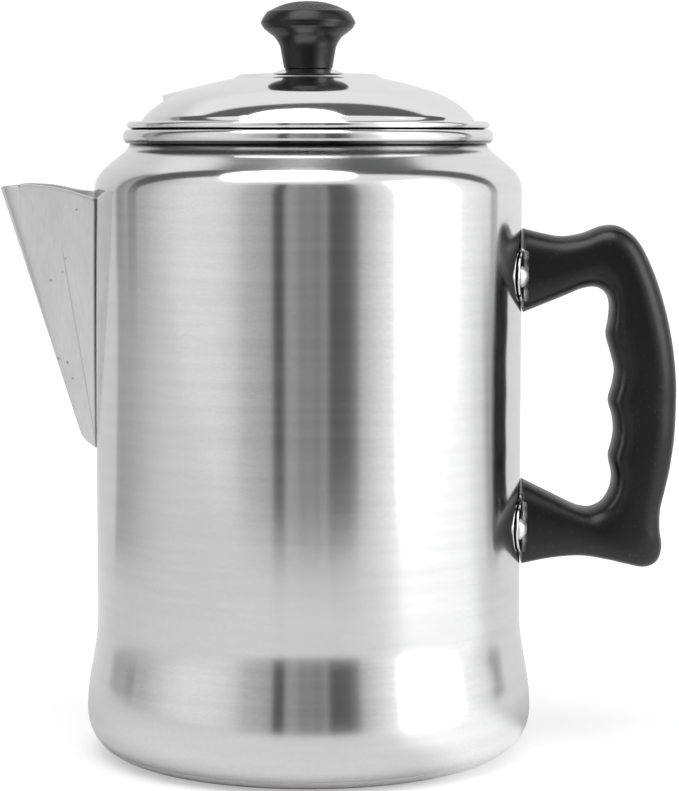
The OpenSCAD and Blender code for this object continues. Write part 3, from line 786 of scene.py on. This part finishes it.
def spout_grid(sizes, wall_radius):
    """The spout's outer surface. Every line up it runs from one point low on the wall, and the top is
    trimmed along a gentle curve. Below the heel the surface closes in a short slope to the wall."""
    flank_steps, nose_steps, rows, toe_rows = 16, 36, 70, 8
    span = sizes.tip_height - sizes.point_height
    # The trim seen from the side, as x and z in millimetres
    crest = [(-101.5, 186.1), (-96.4, 186.9), (-91.8, 187.2), (-84, 186.6), (-76.5, 185)]
    ends = {"far": [(-69.5, 184.2), (-67, 183.6)], "near": [(-69.5, 182.8), (-67, 181.8)]}
    trims = {side: smooth_line(crest + end, 8) * MM for side, end in ends.items()}

    def column_points(s_of_column):
        xy = [spout_section(sizes, wall_radius, s, flank_steps, nose_steps) for s in s_of_column]
        return np.array([(x[i], y[i]) for i, (x, y) in enumerate(xy)])

    columns = 2 * (flank_steps + 1) + nose_steps - 1
    top = np.full(columns, sizes.tip_height)
    for _ in range(6):
        x, y = column_points((top - sizes.point_height) / span).T
        near, far = [np.interp(x, *trims[side].T) for side in ("near", "far")]
        top = np.where(y < 0, near, far)
    v = np.linspace(0, 1, rows)[:, None]
    z = sizes.heel_height + (top - sizes.heel_height) * v
    layers = [column_points((level - sizes.point_height) / span) for level in z]
    cone = np.concatenate([np.array(layers), z[..., None]], axis=-1)

    heel = cone[0]
    across = np.linspace(1, -1, columns)
    foot_half_width, belly_depth = 1.2 * MM, 0.5 * MM
    foot_y = foot_half_width * across
    foot = np.stack([-np.sqrt((wall_radius + sizes.clearance) ** 2 - foot_y ** 2), foot_y,
                     np.full(columns, sizes.foot_height)], axis=1)
    w = np.linspace(0, 1, toe_rows + 1)[:-1, None, None]
    belly = belly_depth * np.sin(np.pi * w) * (1 - across[None, :, None] ** 2)
    toe = foot + (heel - foot) * w + belly * np.array([-0.7, 0, -0.7])
    return np.concatenate([toe, cone])


# ---------------------------------------------------------------- handle, plates and rivets

# The handle's outline in millimetres: an inner point (x, z), then the outer point across from it
HANDLE_OUTLINE = [
    ((70.6, 145.1), (70.6, 172.7)), ((77, 147.7), (77, 171.1)), ((83.4, 150.3), (83.4, 170.1)),
    ((90, 153), (90, 171.1)), ((94.6, 153.4), (96.5, 173.5)), ((97.9, 151.3), (102.5, 173.2)),
    ((99.2, 147.5), (108.5, 168.3)), ((98.9, 142.5), (113.6, 158.3)), ((98.2, 137.6), (117.2, 147.5)),
    ((99.8, 131.5), (119.6, 137)), ((101, 126.3), (120.8, 128.5)), ((100.4, 121.3), (121.38, 121)),
    ((99.1, 116), (121.38, 115)), ((100.4, 110.9), (121.2, 108.5)), ((100.9, 106), (120.8, 102.5)),
    ((100.3, 101.8), (120.1, 97)), ((99.3, 97.3), (119.2, 91.5)), ((100.4, 91.5), (117.8, 85.5)),
    ((99.9, 86.8), (116.5, 79.5)), ((97.6, 82.6), (116.4, 73.5)), ((94.6, 80.7), (117.1, 67.2)),
    ((92.3, 80.3), (115.6, 62.5)), ((90.5, 80.5), (111.5, 60.5)), ((88.5, 81), (105.5, 61.5)),
    ((86, 82.1), (98.5, 63.1)), ((82, 84.1), (90, 64.3)), ((77, 86.6), (80, 63.5)),
    ((70.6, 89.8), (70.6, 61.6))]


def handle_grid(sizes):
    """Superellipse rings carried along the outline: x and z run between the inner and outer points as
    cosine to the power 2/n, and y as sine to the same power. Both ends close in a flat face."""
    outline = smooth_line(HANDLE_OUTLINE, 8) * MM
    a = np.linspace(0, 2 * np.pi, 97)[None, :, None]

    def power(v):
        return np.sign(v) * np.abs(v) ** (2 / sizes.squareness)

    def rings(pairs, swell):
        middle = (pairs[:, :1] + pairs[:, 1:]) / 2
        half = (pairs[:, 1:] - pairs[:, :1]) / 2
        flat = middle + swell * half * power(np.cos(a))
        y = -swell * sizes.half_thickness * power(np.sin(a)) + 0 * middle[..., :1]
        return np.stack([flat[..., 0], y[..., 0], flat[..., 1]], axis=-1)

    body = rings(outline, 1.0)
    swells, eased_edge = (0.0, 0.35, 0.7, 0.9, 0.985), 0.25 * MM
    upper, lower = [np.concatenate([rings(pairs, swell) for swell in swells])
                    for pairs in (outline[:1], outline[-1:])]
    body[[0, -1], :, 0] += eased_edge
    return np.concatenate([upper, body, lower[::-1]])


def handle_notch(sizes, height):
    """A cutter with rounded corners for the recess that clears one plate."""
    face, play, overshoot, half = HANDLE_OUTLINE[0][0][0] * MM, 0.3 * MM, 2 * MM, 20 * MM
    outline = rectangle(face - overshoot, face + sizes.notch_depth, height,
                        sizes.plate_half_height + play)
    return make_piece("handle_notch", [], [prism(rounded(outline, 1.1 * MM, 6), -half, half)])


def tongue_slot(sizes, height):
    """A cutter for the slot that the plate's tongue is moulded into."""
    face, play, overshoot = HANDLE_OUTLINE[0][0][0] * MM, 0.1 * MM, 2 * MM
    outline = rectangle(face - overshoot, sizes.tongue_end + play, height,
                        sizes.tongue_half_height + play)
    half = sizes.tongue_half_thickness + play
    return make_piece("tongue_slot", [], [prism(outline, -half, half)])


def plate_grid(sizes, wall_radius, height):
    """A plate with round ends that follows the wall: an outline of a straight stretch and two half
    circles is shrunk towards its middle on both faces, and X comes from the circle of the wall."""
    run = sizes.plate_half_width - sizes.plate_half_height
    a = np.linspace(0, 2 * np.pi, 97)
    spine = np.stack([run * np.clip(6 * np.cos(a), -1, 1), 0 * a], axis=1)
    out = np.stack([np.cos(a), np.sin(a)], axis=1)
    play, inner_edge, edge = 0.2 * MM, 0.15 * MM, 0.42 * MM
    inner, outer = wall_radius + play, wall_radius + sizes.plate_thickness
    quarter = np.radians(np.linspace(0, 90, 7))
    fractions = np.linspace(0, 1, 16)
    rows = [(f, edge / 2, inner) for f in fractions]
    rows += [(1, 0, inner + inner_edge)]
    rows += [(1, edge * (1 - math.cos(q)), outer - edge * (1 - math.sin(q))) for q in quarter]
    rows += [(f, edge, outer) for f in fractions[::-1][1:]]
    grid = []
    for fraction, inset, radius in rows:
        yz = fraction * (spine + (sizes.plate_half_height - inset) * out)
        x = np.sqrt(radius ** 2 - yz[:, 0] ** 2)
        grid.append(np.stack([x, yz[:, 0], height + yz[:, 1]], axis=1))
    return np.array(grid)


def plate_tongue(sizes, wall_radius, height):
    """The plate's tongue, moulded into the handle, as a closed block."""
    outline = rectangle(wall_radius + 0.6 * MM, sizes.tongue_end, height, sizes.tongue_half_height)
    half = sizes.tongue_half_thickness
    return prism(rounded(outline, 1.5 * MM), -half, half)


def rivet_grid(sizes, wall_radius, sheet, height, side):
    """A rivet's profile turned about its own axis, which points out from the pot's axis. It has a flat
    head inside the wall, a shank, and a domed head on the plate."""
    shank, inner_head, inner_rise, brim, play = 1.75 * MM, 3.2 * MM, 1.2 * MM, 0.15 * MM, 0.1 * MM
    seat, tail = wall_radius + sizes.plate_thickness, wall_radius - sheet - play
    r, rise = sizes.rivet_radius, sizes.rivet_rise
    curve = (r * r + rise * rise) / (2 * rise)
    low = math.degrees(math.asin((curve - rise) / curve))
    stem = rounded([(0, tail - inner_rise), (inner_head, tail - inner_rise), (inner_head, tail),
                    (shank, tail), (shank, seat - play), (r, seat - play), (r, seat + brim)], 0.3 * MM)
    dome = arc((0, seat + rise - curve), (curve, curve), low + 3, 90, 14)
    dome[-1, 0] = 0
    turned = revolved(np.concatenate([stem, dome]), 48)
    x, y, z = turned[..., 2], turned[..., 0], turned[..., 1]
    angle = side * sizes.rivet_turn
    return np.stack([x * math.cos(angle) - y * math.sin(angle),
                     x * math.sin(angle) + y * math.cos(angle), z + height], axis=-1)


# ---------------------------------------------------------------- lid and knob

def leaning_arc(centre, curve, start, end, steps):
    """Points of a circle's arc between two leans from the vertical, in degrees."""
    return arc(centre, (curve, curve), 90 - start, 90 - end, steps)


def next_centre(centre, curve, smaller, lean):
    """The centre of a smaller circle that carries on from a circle's arc where it ends, at a lean in
    degrees."""
    a = math.radians(lean)
    return centre[0] + (curve - smaller) * math.sin(a), centre[1] + (curve - smaller) * math.cos(a)


def lid_lines(sizes):
    """The lid's outer line in three parts: from the screw hole to the vent's slit, from the slit over
    the haunch, and round the rolled edge down the skirt that hangs in the pot's mouth."""
    crown_curve, haunch_curve, foot_curve = sizes.crown_curve, sizes.haunch_curve, 3 * MM
    crown_end, haunch_end, foot_end = 18.5, 47.5, 62
    crown_centre = (0, sizes.crown_top - crown_curve)
    haunch_centre = next_centre(crown_centre, crown_curve, haunch_curve, crown_end)
    foot_centre = next_centre(haunch_centre, haunch_curve, foot_curve, haunch_end)
    boss = rounded(np.array([(2.3, 224.6), (8.3, 224.6), (12.5, 222.95), (22.2, 222.9),
                             (24.0, 221.9)]) * MM, 0.7 * MM)
    start = math.degrees(math.asin(24.4 * MM / crown_curve))
    slit = math.degrees(math.asin((sizes.vent_slit - haunch_centre[0]) / haunch_curve))
    crown = leaning_arc(crown_centre, crown_curve, start, crown_end, 16)
    upper = leaning_arc(haunch_centre, haunch_curve, crown_end, slit, 16)[1:]
    lower = leaning_arc(haunch_centre, haunch_curve, slit, haunch_end, 16)
    foot = leaning_arc(foot_centre, foot_curve, haunch_end, foot_end, 8)[1:]
    edge, shelf = 1.15 * MM, 207.3 * MM
    flank = rounded([*foot[-2:], (54.6 * MM, shelf), (57 * MM, shelf)], 0.5 * MM)[1:]
    turned = arc((sizes.edge_radius - edge, shelf + 0.3 * MM - edge), (edge, edge), 80, -90, 18)
    seat = arc((58.6 * MM, 203.4 * MM), (1.9 * MM, 1.9 * MM), 106, 180, 8)
    skirt = np.array([(56.7, 203), (56.7, 198.6), (56.3, 198.0)]) * MM
    inner = filled(np.concatenate([boss, crown, upper]), 1.6 * MM)
    outer = filled(np.concatenate([lower, foot[:-1], flank, turned, seat, skirt]), 1.6 * MM)
    return inner, outer


def lid_surface(sizes):
    """The lid as a sheet with a louvred vent. Columns are crowded towards -X. Inside the vent's angle the
    sheet is raised to a straight slope that ends at the slit's lip, fading to nothing at its sides as
    1 - q squared, and beyond the slit it dips a little. The two grids meet along the slit's circle and
    are welded there, but for the slit itself. Rows run inwards, so that faces point up and out."""
    lines = lid_lines(sizes)
    inner, outer = [revolved(line, sizes.columns, 0.6) for line in lines]
    reach = [line[:, :1] for line in lines]
    q = [(np.abs(np.arctan2(grid[..., 1], grid[..., 0])) - math.pi) / sizes.vent_half_turn
         for grid in (inner, outer)]
    window = [np.clip(1 - value ** 2, 0, 1) ** 1.1 for value in q]
    root, root_z, dip_depth, dip_length = 33.9 * MM, 219.6 * MM, 0.7 * MM, 4 * MM
    slope = root_z - (reach[0] - root) * math.tan(sizes.vent_slope)
    rise = np.maximum(slope - inner[..., 2], 0) * soft_step(reach[0], 30 * MM, 36 * MM)
    inner[..., 2] += rise * window[0]
    dip = dip_depth * (1 - soft_step(reach[1], sizes.vent_slit, sizes.vent_slit + dip_length))
    outer[..., 2] -= dip * window[1]
    return [inner[::-1], outer[::-1]]


def knob_profile(sizes):
    """The knob's section: the bore for the bush, the foot, the waisted stem, the brim, and a cap that is
    a circle lifted by the fourth power of the distance from the axis, so that it meets its edge."""
    top, widest = sizes.knob_top / MM, sizes.knob_radius / MM
    bore, bore_top, foot, foot_r = 4.05, 238.1, 224.7, 7.95
    brim_start, brim_end = (15.2, 239.1), (13.5, 243.1)
    cap_r, cap_edge, cap_curve = 12.5, 243.6, 30.0
    below = rounded([(bore, foot), (7.6, foot), (foot_r, foot + 0.5)], 0.3)
    stem = smooth_line([(foot_r, foot + 0.5), (8.15, 226.3), (8.7, 229.4), (9.3, 232.3),
                        (10.9, 234.9), (12.9, 236.5), (14.5, 237.9), brim_start], 8)[1:]
    brim = rounded([brim_start, (widest, 239.5), (15.35, 240.2), (14.5, 241.7), brim_end], 0.6)[1:]
    shoulder = smooth_line([brim_end, (13.1, 243.4), (cap_r, cap_edge)], 4)[1:]
    r = np.linspace(cap_r, 0, 60)[1:]
    circle = top - cap_curve + np.sqrt(cap_curve ** 2 - r ** 2)
    lift = cap_edge - (top - cap_curve + math.sqrt(cap_curve ** 2 - cap_r ** 2))
    cap = np.stack([r, circle + lift * (r / cap_r) ** 4], axis=1)
    return np.concatenate([[(0, bore_top), (bore, bore_top)], below, stem, brim, shoulder, cap]) * MM


def knob_grid(sizes):
    """The knob's section turned about the axis, with a ring of small raised cells on the cap: their
    height is a product of sines of the angle and of the distance from the axis."""
    columns, cells_round, cell_length, cell_height = 288, 36, 2.25 * MM, 0.11 * MM
    ring_start, ring_end, fade, cap_bottom = 3.2 * MM, 12.2 * MM, 1 * MM, 243.5 * MM
    profile = knob_profile(sizes)
    grid = revolved(profile, columns)
    a = np.linspace(0, 2 * np.pi, columns + 1)[None, :]
    r, z = profile[:, :1], profile[:, 1:]
    ring = soft_step(r, ring_start, ring_start + fade) * (1 - soft_step(r, ring_end - fade, ring_end))
    turns = 2 * np.pi * (r - ring_start) / cell_length
    cells = np.sin(cells_round * a + 1.5 * np.sin(turns / 2)) * np.sin(turns)
    grid[..., 2] += (z > cap_bottom) * ring * cell_height * (cells - 0.6)
    return grid


# ---------------------------------------------------------------- stage

# Brightness round the studio: degrees from the camera's side, plus to the right, and light
STUDIO_WALLS = [
    (-180, 0.80), (-125.5, 0.62), (-121.5, 0.26), (-110, 0.44), (-96, 0.46), (-80, 0.70), (-68, 0.80),
    (-50, 0.78), (-40, 0.68), (-33, 0.50), (-18.6, 0.37), (-17.4, 0.08), (-12.4, 0.08), (-11, 0.34),
    (-5, 0.31), (-3.4, 0.22), (1, 0.26), (6, 0.20), (9.3, 0.31), (10.9, 0.22), (11.8, 0.09),
    (21, 0.11), (26.3, 0.23), (27.6, 0.45), (36, 0.70), (47, 1.0), (53, 3.5), (80, 3.5), (89, 1.05),
    (107, 0.88), (180, 0.80)]


def wall_light(tree, around):
    """The brightness of the studio's walls in a direction, an angle from the camera's side."""
    brightest = 4.0
    place = maths(tree, "ADD", maths(tree, "DIVIDE", around, 2 * math.pi), 0.5)
    ramp = add(tree, "ShaderNodeValToRGB", {"Fac": place})
    stops = ramp.color_ramp.elements
    for i, (degrees, light) in enumerate(STUDIO_WALLS):
        at = degrees / 360 + 0.5
        if 0 < i < len(STUDIO_WALLS) - 1:
            stop = stops.new(at)
        else:
            stop = stops[0 if i == 0 else len(stops) - 1]
            stop.position = at
        stop.color = (light / brightest, light / brightest, light / brightest, 1)
    return maths(tree, "MULTIPLY", ramp.outputs["Color"], brightest)


def roof_gap(tree, u, v, z):
    """1 in the dark gap, a band over the roof. Its middle line is v = the square root of u squared and
    0.3 squared, times a factor that is larger on the right. It fades down the walls."""
    bend = maths(tree, "SQRT", maths(tree, "MULTIPLY_ADD", u, u, 0.3 ** 2))
    middle = maths(tree, "MULTIPLY", bend, remap(tree, u, -0.3, 0.3, 0.33, 0.55))
    across = maths(tree, "SUBTRACT", v, middle)
    band = between(tree, across, (-0.42, -0.34), (0.16, 0.22))
    return maths(tree, "MULTIPLY", band, remap(tree, z, -0.2, 0.5, 0.4, 1.0))


def light_box(tree, u, v, z):
    """1 in the light box, a rounded shape that narrows towards the back. At its edge the cubes of the
    shares of its half width and half length add up to about 1."""
    middle = maths(tree, "MULTIPLY_ADD", v, 0.17, -0.13)
    half_width = maths(tree, "MULTIPLY_ADD", v, -0.38, 0.38)
    side = maths(tree, "DIVIDE", maths(tree, "SUBTRACT", u, middle), half_width)
    along = maths(tree, "DIVIDE", maths(tree, "ADD", v, 0.31), 0.43)
    cubes = [maths(tree, "POWER", maths(tree, "ABSOLUTE", part), 3.0) for part in (side, along)]
    inside = remap(tree, maths(tree, "ADD", *cubes), 0.85, 1.1, 1.0, 0.0)
    return maths(tree, "MULTIPLY", inside, maths(tree, "GREATER_THAN", z, 0.3))


def studio_world(world):
    """A surround like a light tent. Its walls change in brightness round the object, a bent dark gap
    runs over the roof and down both sides, and a light box hangs in front of it. The gap and the box
    are drawn on a flat roof, where a direction's place is its x and y over its z. The camera itself
    sees plain white."""
    world.use_nodes = True
    tree = world.node_tree
    tree.nodes.clear()
    x, y, z = separate(tree, object_place(tree))
    around = maths(tree, "ARCTAN2", x, maths(tree, "MULTIPLY", y, -1.0))
    height = maths(tree, "MAXIMUM", z, 0.25)
    u, v = [maths(tree, "DIVIDE", part, height) for part in (x, y)]
    paper_white, box_light, roof_light, gap_light = 1.02, 3.5, 0.85, 0.11
    light = mixed(tree, remap(tree, z, 0.58, 0.74, 0.0, 1.0), wall_light(tree, around), roof_light)
    light = mixed(tree, roof_gap(tree, u, v, z), light, gap_light)
    light = mixed(tree, light_box(tree, u, v, z), light, box_light)
    seen = tree.nodes.new("ShaderNodeLightPath").outputs["Is Camera Ray"]
    light = mixed(tree, seen, light, paper_white)
    background = add(tree, "ShaderNodeBackground", {"Color": (1, 1, 1, 1), "Strength": light})
    end = tree.nodes.new("ShaderNodeOutputWorld")
    tree.links.new(background.outputs[0], end.inputs["Surface"])


def sector(tree, around, rise, fall):
    """1 in a sector round the axis, with soft edges: each edge is a pair of angles in degrees."""
    return between(tree, around, np.radians(rise), np.radians(fall))


def floor_material():
    """Matt pale floor, with painted shade where it runs away to the left and in two sectors, and a
    painted glow on the right under the light box there. What the camera sees of it is lifted to paper
    white, what the metal sees isn't."""
    material, tree, shader = new_material("pale_floor")
    left_shade, right_shade, box_glow, paper_white = 0.40, 0.5, 0.32, 1.05
    place = object_place(tree)
    part = separate(tree, place)
    around = maths(tree, "ARCTAN2", part[0], maths(tree, "MULTIPLY", part[1], -1.0))
    far = remap(tree, axis_distance(tree, part), 0.42, 0.54, 0.0, 1.0)
    # Painted shade in two sectors, left and right of the pot.
    left = maths(tree, "MULTIPLY", sector(tree, around, (-123, -119), (-117, -71)), left_shade)
    right = maths(tree, "MULTIPLY", sector(tree, around, (103, 109), (115, 121)), right_shade)
    shaded = maths(tree, "MULTIPLY", far, maths(tree, "MAXIMUM", left, right))
    # Painted shade: the floor's colour grows darker towards the left.
    fall = remap(tree, part[0], -0.45, -0.08, 0.56, 0.64)
    fall = maths(tree, "MULTIPLY", fall, maths(tree, "SUBTRACT", 1.0, shaded))
    grain = remap(tree, noise(tree, place, 900.0), 0.25, 0.75, 0.99, 1.01)
    tone = maths(tree, "MULTIPLY", fall, grain)
    grey = add(tree, "ShaderNodeCombineXYZ", {0: tone, 1: tone, 2: tone}).outputs[0]
    tree.links.new(grey, shader.inputs["Base Color"])
    shader.inputs["Roughness"].default_value = 0.9
    shader.inputs["Specular IOR Level"].default_value = 0.1
    shader.inputs["Emission Color"].default_value = (1, 1, 1, 1)
    # Painted glow: light given off in the sector on the right, under the light box.
    lit = maths(tree, "MULTIPLY", sector(tree, around, (30, 55), (86, 104)), box_glow)
    seen = tree.nodes.new("ShaderNodeLightPath").outputs["Is Camera Ray"]
    glow = mixed(tree, seen, lit, maths(tree, "SUBTRACT", paper_white, fall))
    tree.links.new(glow, shader.inputs["Emission Strength"])
    return material


# ---------------------------------------------------------------- operators

class PieceOperator:
    """What every operator of the percolator shares."""
    bl_options = {"REGISTER", "UNDO"}


class PERCOLATOR_OT_materials(PieceOperator, bpy.types.Operator):
    """Makes the node groups and materials"""
    bl_idname = "percolator.materials"
    bl_label = "Make materials"

    def execute(self, context):
        make_materials(context.scene.percolator_finishes, context.scene.percolator_pot)
        return {"FINISHED"}


class PERCOLATOR_OT_pot_body(PieceOperator, bpy.types.Operator):
    """Builds the drawn and spun body with the strainer holes behind its spout"""
    bl_idname = "percolator.pot_body"
    bl_label = "Pot body"

    def execute(self, context):
        scene = context.scene
        pot = scene.percolator_pot
        profile = filled(pot_profile(pot), 3 * MM)
        piece = make_piece("pot_body", [revolved(profile, pot.columns)])
        cut(piece, strainer_cutter(pot, scene.percolator_spout))
        finish_piece(piece, "pot", "pot_aluminium", "spun_pot_aluminium", "body_shell")
        return {"FINISHED"}


class PERCOLATOR_OT_spout(PieceOperator, bpy.types.Operator):
    """Builds the pouring spout from bent sheet"""
    bl_idname = "percolator.spout"
    bl_label = "Spout"

    def execute(self, context):
        scene = context.scene
        sizes = scene.percolator_spout
        grid = spout_grid(sizes, scene.percolator_pot.wall_radius)
        piece = make_piece("pouring_spout", [grid], sharp=30)
        thicken(piece, sizes.sheet)
        soften(piece, 0.25 * MM, 50)
        apply_modifiers(piece, 30)
        finish_piece(piece, "pot", "spout_aluminium", "drawn_spout_aluminium", "spout")
        return {"FINISHED"}


class PERCOLATOR_OT_handle(PieceOperator, bpy.types.Operator):
    """Builds the moulded handle with its finger hollows and the recesses over the plates"""
    bl_idname = "percolator.handle"
    bl_label = "Handle"

    def execute(self, context):
        sizes = context.scene.percolator_handle
        piece = make_piece("handle_grip", [handle_grid(sizes)])
        for height in (sizes.upper_height, sizes.lower_height):
            cut(piece, handle_notch(sizes, height))
            cut(piece, tongue_slot(sizes, height))
        finish_piece(piece, "pot", "black_phenolic", "black_phenolic_handle", "handle")
        return {"FINISHED"}


class PERCOLATOR_OT_plates(PieceOperator, bpy.types.Operator):
    """Builds the two curved plates that carry the handle"""
    bl_idname = "percolator.plates"
    bl_label = "Handle plates"

    def execute(self, context):
        scene = context.scene
        sizes, radius = scene.percolator_handle, scene.percolator_pot.wall_radius
        for name, height in (("upper", sizes.upper_height), ("lower", sizes.lower_height)):
            piece = make_piece(f"handle_plate_{name}", [plate_grid(sizes, radius, height)],
                               [plate_tongue(sizes, radius, height)])
            finish_piece(piece, "pot", "bracket_metal", "plated_plate_steel", f"handle_bracket_{name}")
        return {"FINISHED"}


class PERCOLATOR_OT_rivets(PieceOperator, bpy.types.Operator):
    """Builds the four domed rivets"""
    bl_idname = "percolator.rivets"
    bl_label = "Rivets"

    def execute(self, context):
        scene = context.scene
        sizes, pot = scene.percolator_handle, scene.percolator_pot
        for level, height in (("upper", sizes.upper_height), ("lower", sizes.lower_height)):
            for end, side in (("front", -1), ("back", 1)):
                grid = rivet_grid(sizes, pot.wall_radius, pot.sheet, height, side)
                piece = make_piece(f"dome_rivet_{level}_{end}", [grid])
                finish_piece(piece, "pot", "rivet_aluminium", "rivet_aluminium", f"rivet_{level}_{end}")
        return {"FINISHED"}


class PERCOLATOR_OT_lid(PieceOperator, bpy.types.Operator):
    """Builds the lid with its rolled edge and louvred vent"""
    bl_idname = "percolator.lid"
    bl_label = "Lid"

    def execute(self, context):
        sizes = context.scene.percolator_lid
        piece = make_piece("pot_lid", lid_surface(sizes))
        thicken(piece, sizes.sheet)
        apply_modifiers(piece)
        finish_piece(piece, "lid", "lid_aluminium", "polished_lid_aluminium", "lid_shell")
        return {"FINISHED"}


class PERCOLATOR_OT_knob(PieceOperator, bpy.types.Operator):
    """Builds the moulded knob"""
    bl_idname = "percolator.knob"
    bl_label = "Lid knob"

    def execute(self, context):
        piece = make_piece("knob", [knob_grid(context.scene.percolator_lid)], sharp=60)
        finish_piece(piece, "lid", "black_phenolic", "black_phenolic_knob", "lid_knob")
        return {"FINISHED"}


class PERCOLATOR_OT_inner_parts(PieceOperator, bpy.types.Operator):
    """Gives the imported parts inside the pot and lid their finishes"""
    bl_idname = "percolator.inner_parts"
    bl_label = "Inner parts"

    def execute(self, context):
        finishes = {
            "inner_aluminium": ["basket", "basket_sleeve", "basket_cover", "pump_tube", "basket_stop",
                                "pump_foot", "valve_cage"],
            "screw_steel": ["valve_disc", "knob_screw", "knob_washer"],
            "turned_brass": ["knob_insert"]}
        for material, nodes in finishes.items():
            for name in nodes:
                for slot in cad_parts[name].material_slots:
                    slot.material = bpy.data.materials[material]
        return {"FINISHED"}


class PERCOLATOR_OT_stage(PieceOperator, bpy.types.Operator):
    """Makes the pale floor, the soft surround and the camera"""
    bl_idname = "percolator.stage"
    bl_label = "Stage"

    def execute(self, context):
        scene = context.scene
        sizes = scene.percolator_stage
        x = np.linspace(-sizes.floor_size, sizes.floor_size, 25)
        y = np.linspace(-sizes.floor_front, sizes.floor_size, 15)
        across, along = np.meshgrid(x, y)
        floor = make_piece("floor", [np.stack([across, along, 0 * across - 0.2 * MM], axis=-1)])
        floor.data.materials.append(floor_material())
        scene.world = scene.world or bpy.data.worlds.new("studio")
        studio_world(scene.world)
        camera = bpy.data.objects.new("camera", bpy.data.cameras.new("camera"))
        scene.collection.objects.link(camera)
        camera.location = (sizes.camera_side, -sizes.camera_distance, sizes.camera_height)
        camera.rotation_euler = (math.pi / 2 - sizes.camera_dip, 0, 0)
        camera.data.lens = sizes.lens / MM
        camera.data.sensor_width = 36
        scene.camera = camera
        scene.view_settings.view_transform = "Standard"
        return {"FINISHED"}


PIECE_OPERATORS = [
    PERCOLATOR_OT_materials, PERCOLATOR_OT_pot_body, PERCOLATOR_OT_spout, PERCOLATOR_OT_handle,
    PERCOLATOR_OT_plates, PERCOLATOR_OT_rivets, PERCOLATOR_OT_lid, PERCOLATOR_OT_knob,
    PERCOLATOR_OT_inner_parts, PERCOLATOR_OT_stage]


class PERCOLATOR_PT_panel(bpy.types.Panel):
    """Lists the sizes and the operators that build the percolator"""
    bl_idname = "PERCOLATOR_PT_panel"
    bl_label = "Coffee percolator"
    bl_space_type = "VIEW_3D"
    bl_region_type = "UI"
    bl_category = "Percolator"

    def draw(self, context):
        for name in SETTINGS:
            group = getattr(context.scene, name)
            box = self.layout.box()
            for size in group.bl_rna.properties.keys()[1:]:
                if size != "name":
                    box.prop(group, size)
        for operator in PIECE_OPERATORS:
            self.layout.operator(operator.bl_idname)


SETTINGS = {
    "percolator_pot": PotSizes, "percolator_spout": SpoutSizes, "percolator_handle": HandleSizes,
    "percolator_lid": LidSizes, "percolator_finishes": Finishes, "percolator_stage": StageSizes}


def register():
    for name, group in SETTINGS.items():
        bpy.utils.register_class(group)
        setattr(bpy.types.Scene, name, bpy.props.PointerProperty(type=group))
    for operator in PIECE_OPERATORS:
        bpy.utils.register_class(operator)
    bpy.utils.register_class(PERCOLATOR_PT_panel)


def unregister():
    bpy.utils.unregister_class(PERCOLATOR_PT_panel)
    for operator in reversed(PIECE_OPERATORS):
        bpy.utils.unregister_class(operator)
    for name, group in SETTINGS.items():
        delattr(bpy.types.Scene, name)
        bpy.utils.unregister_class(group)


def main():
    register()
    for operator in PIECE_OPERATORS:
        group, name = operator.bl_idname.split(".")
        getattr(getattr(bpy.ops, group), name)()


if __name__ == "__main__":
    main()
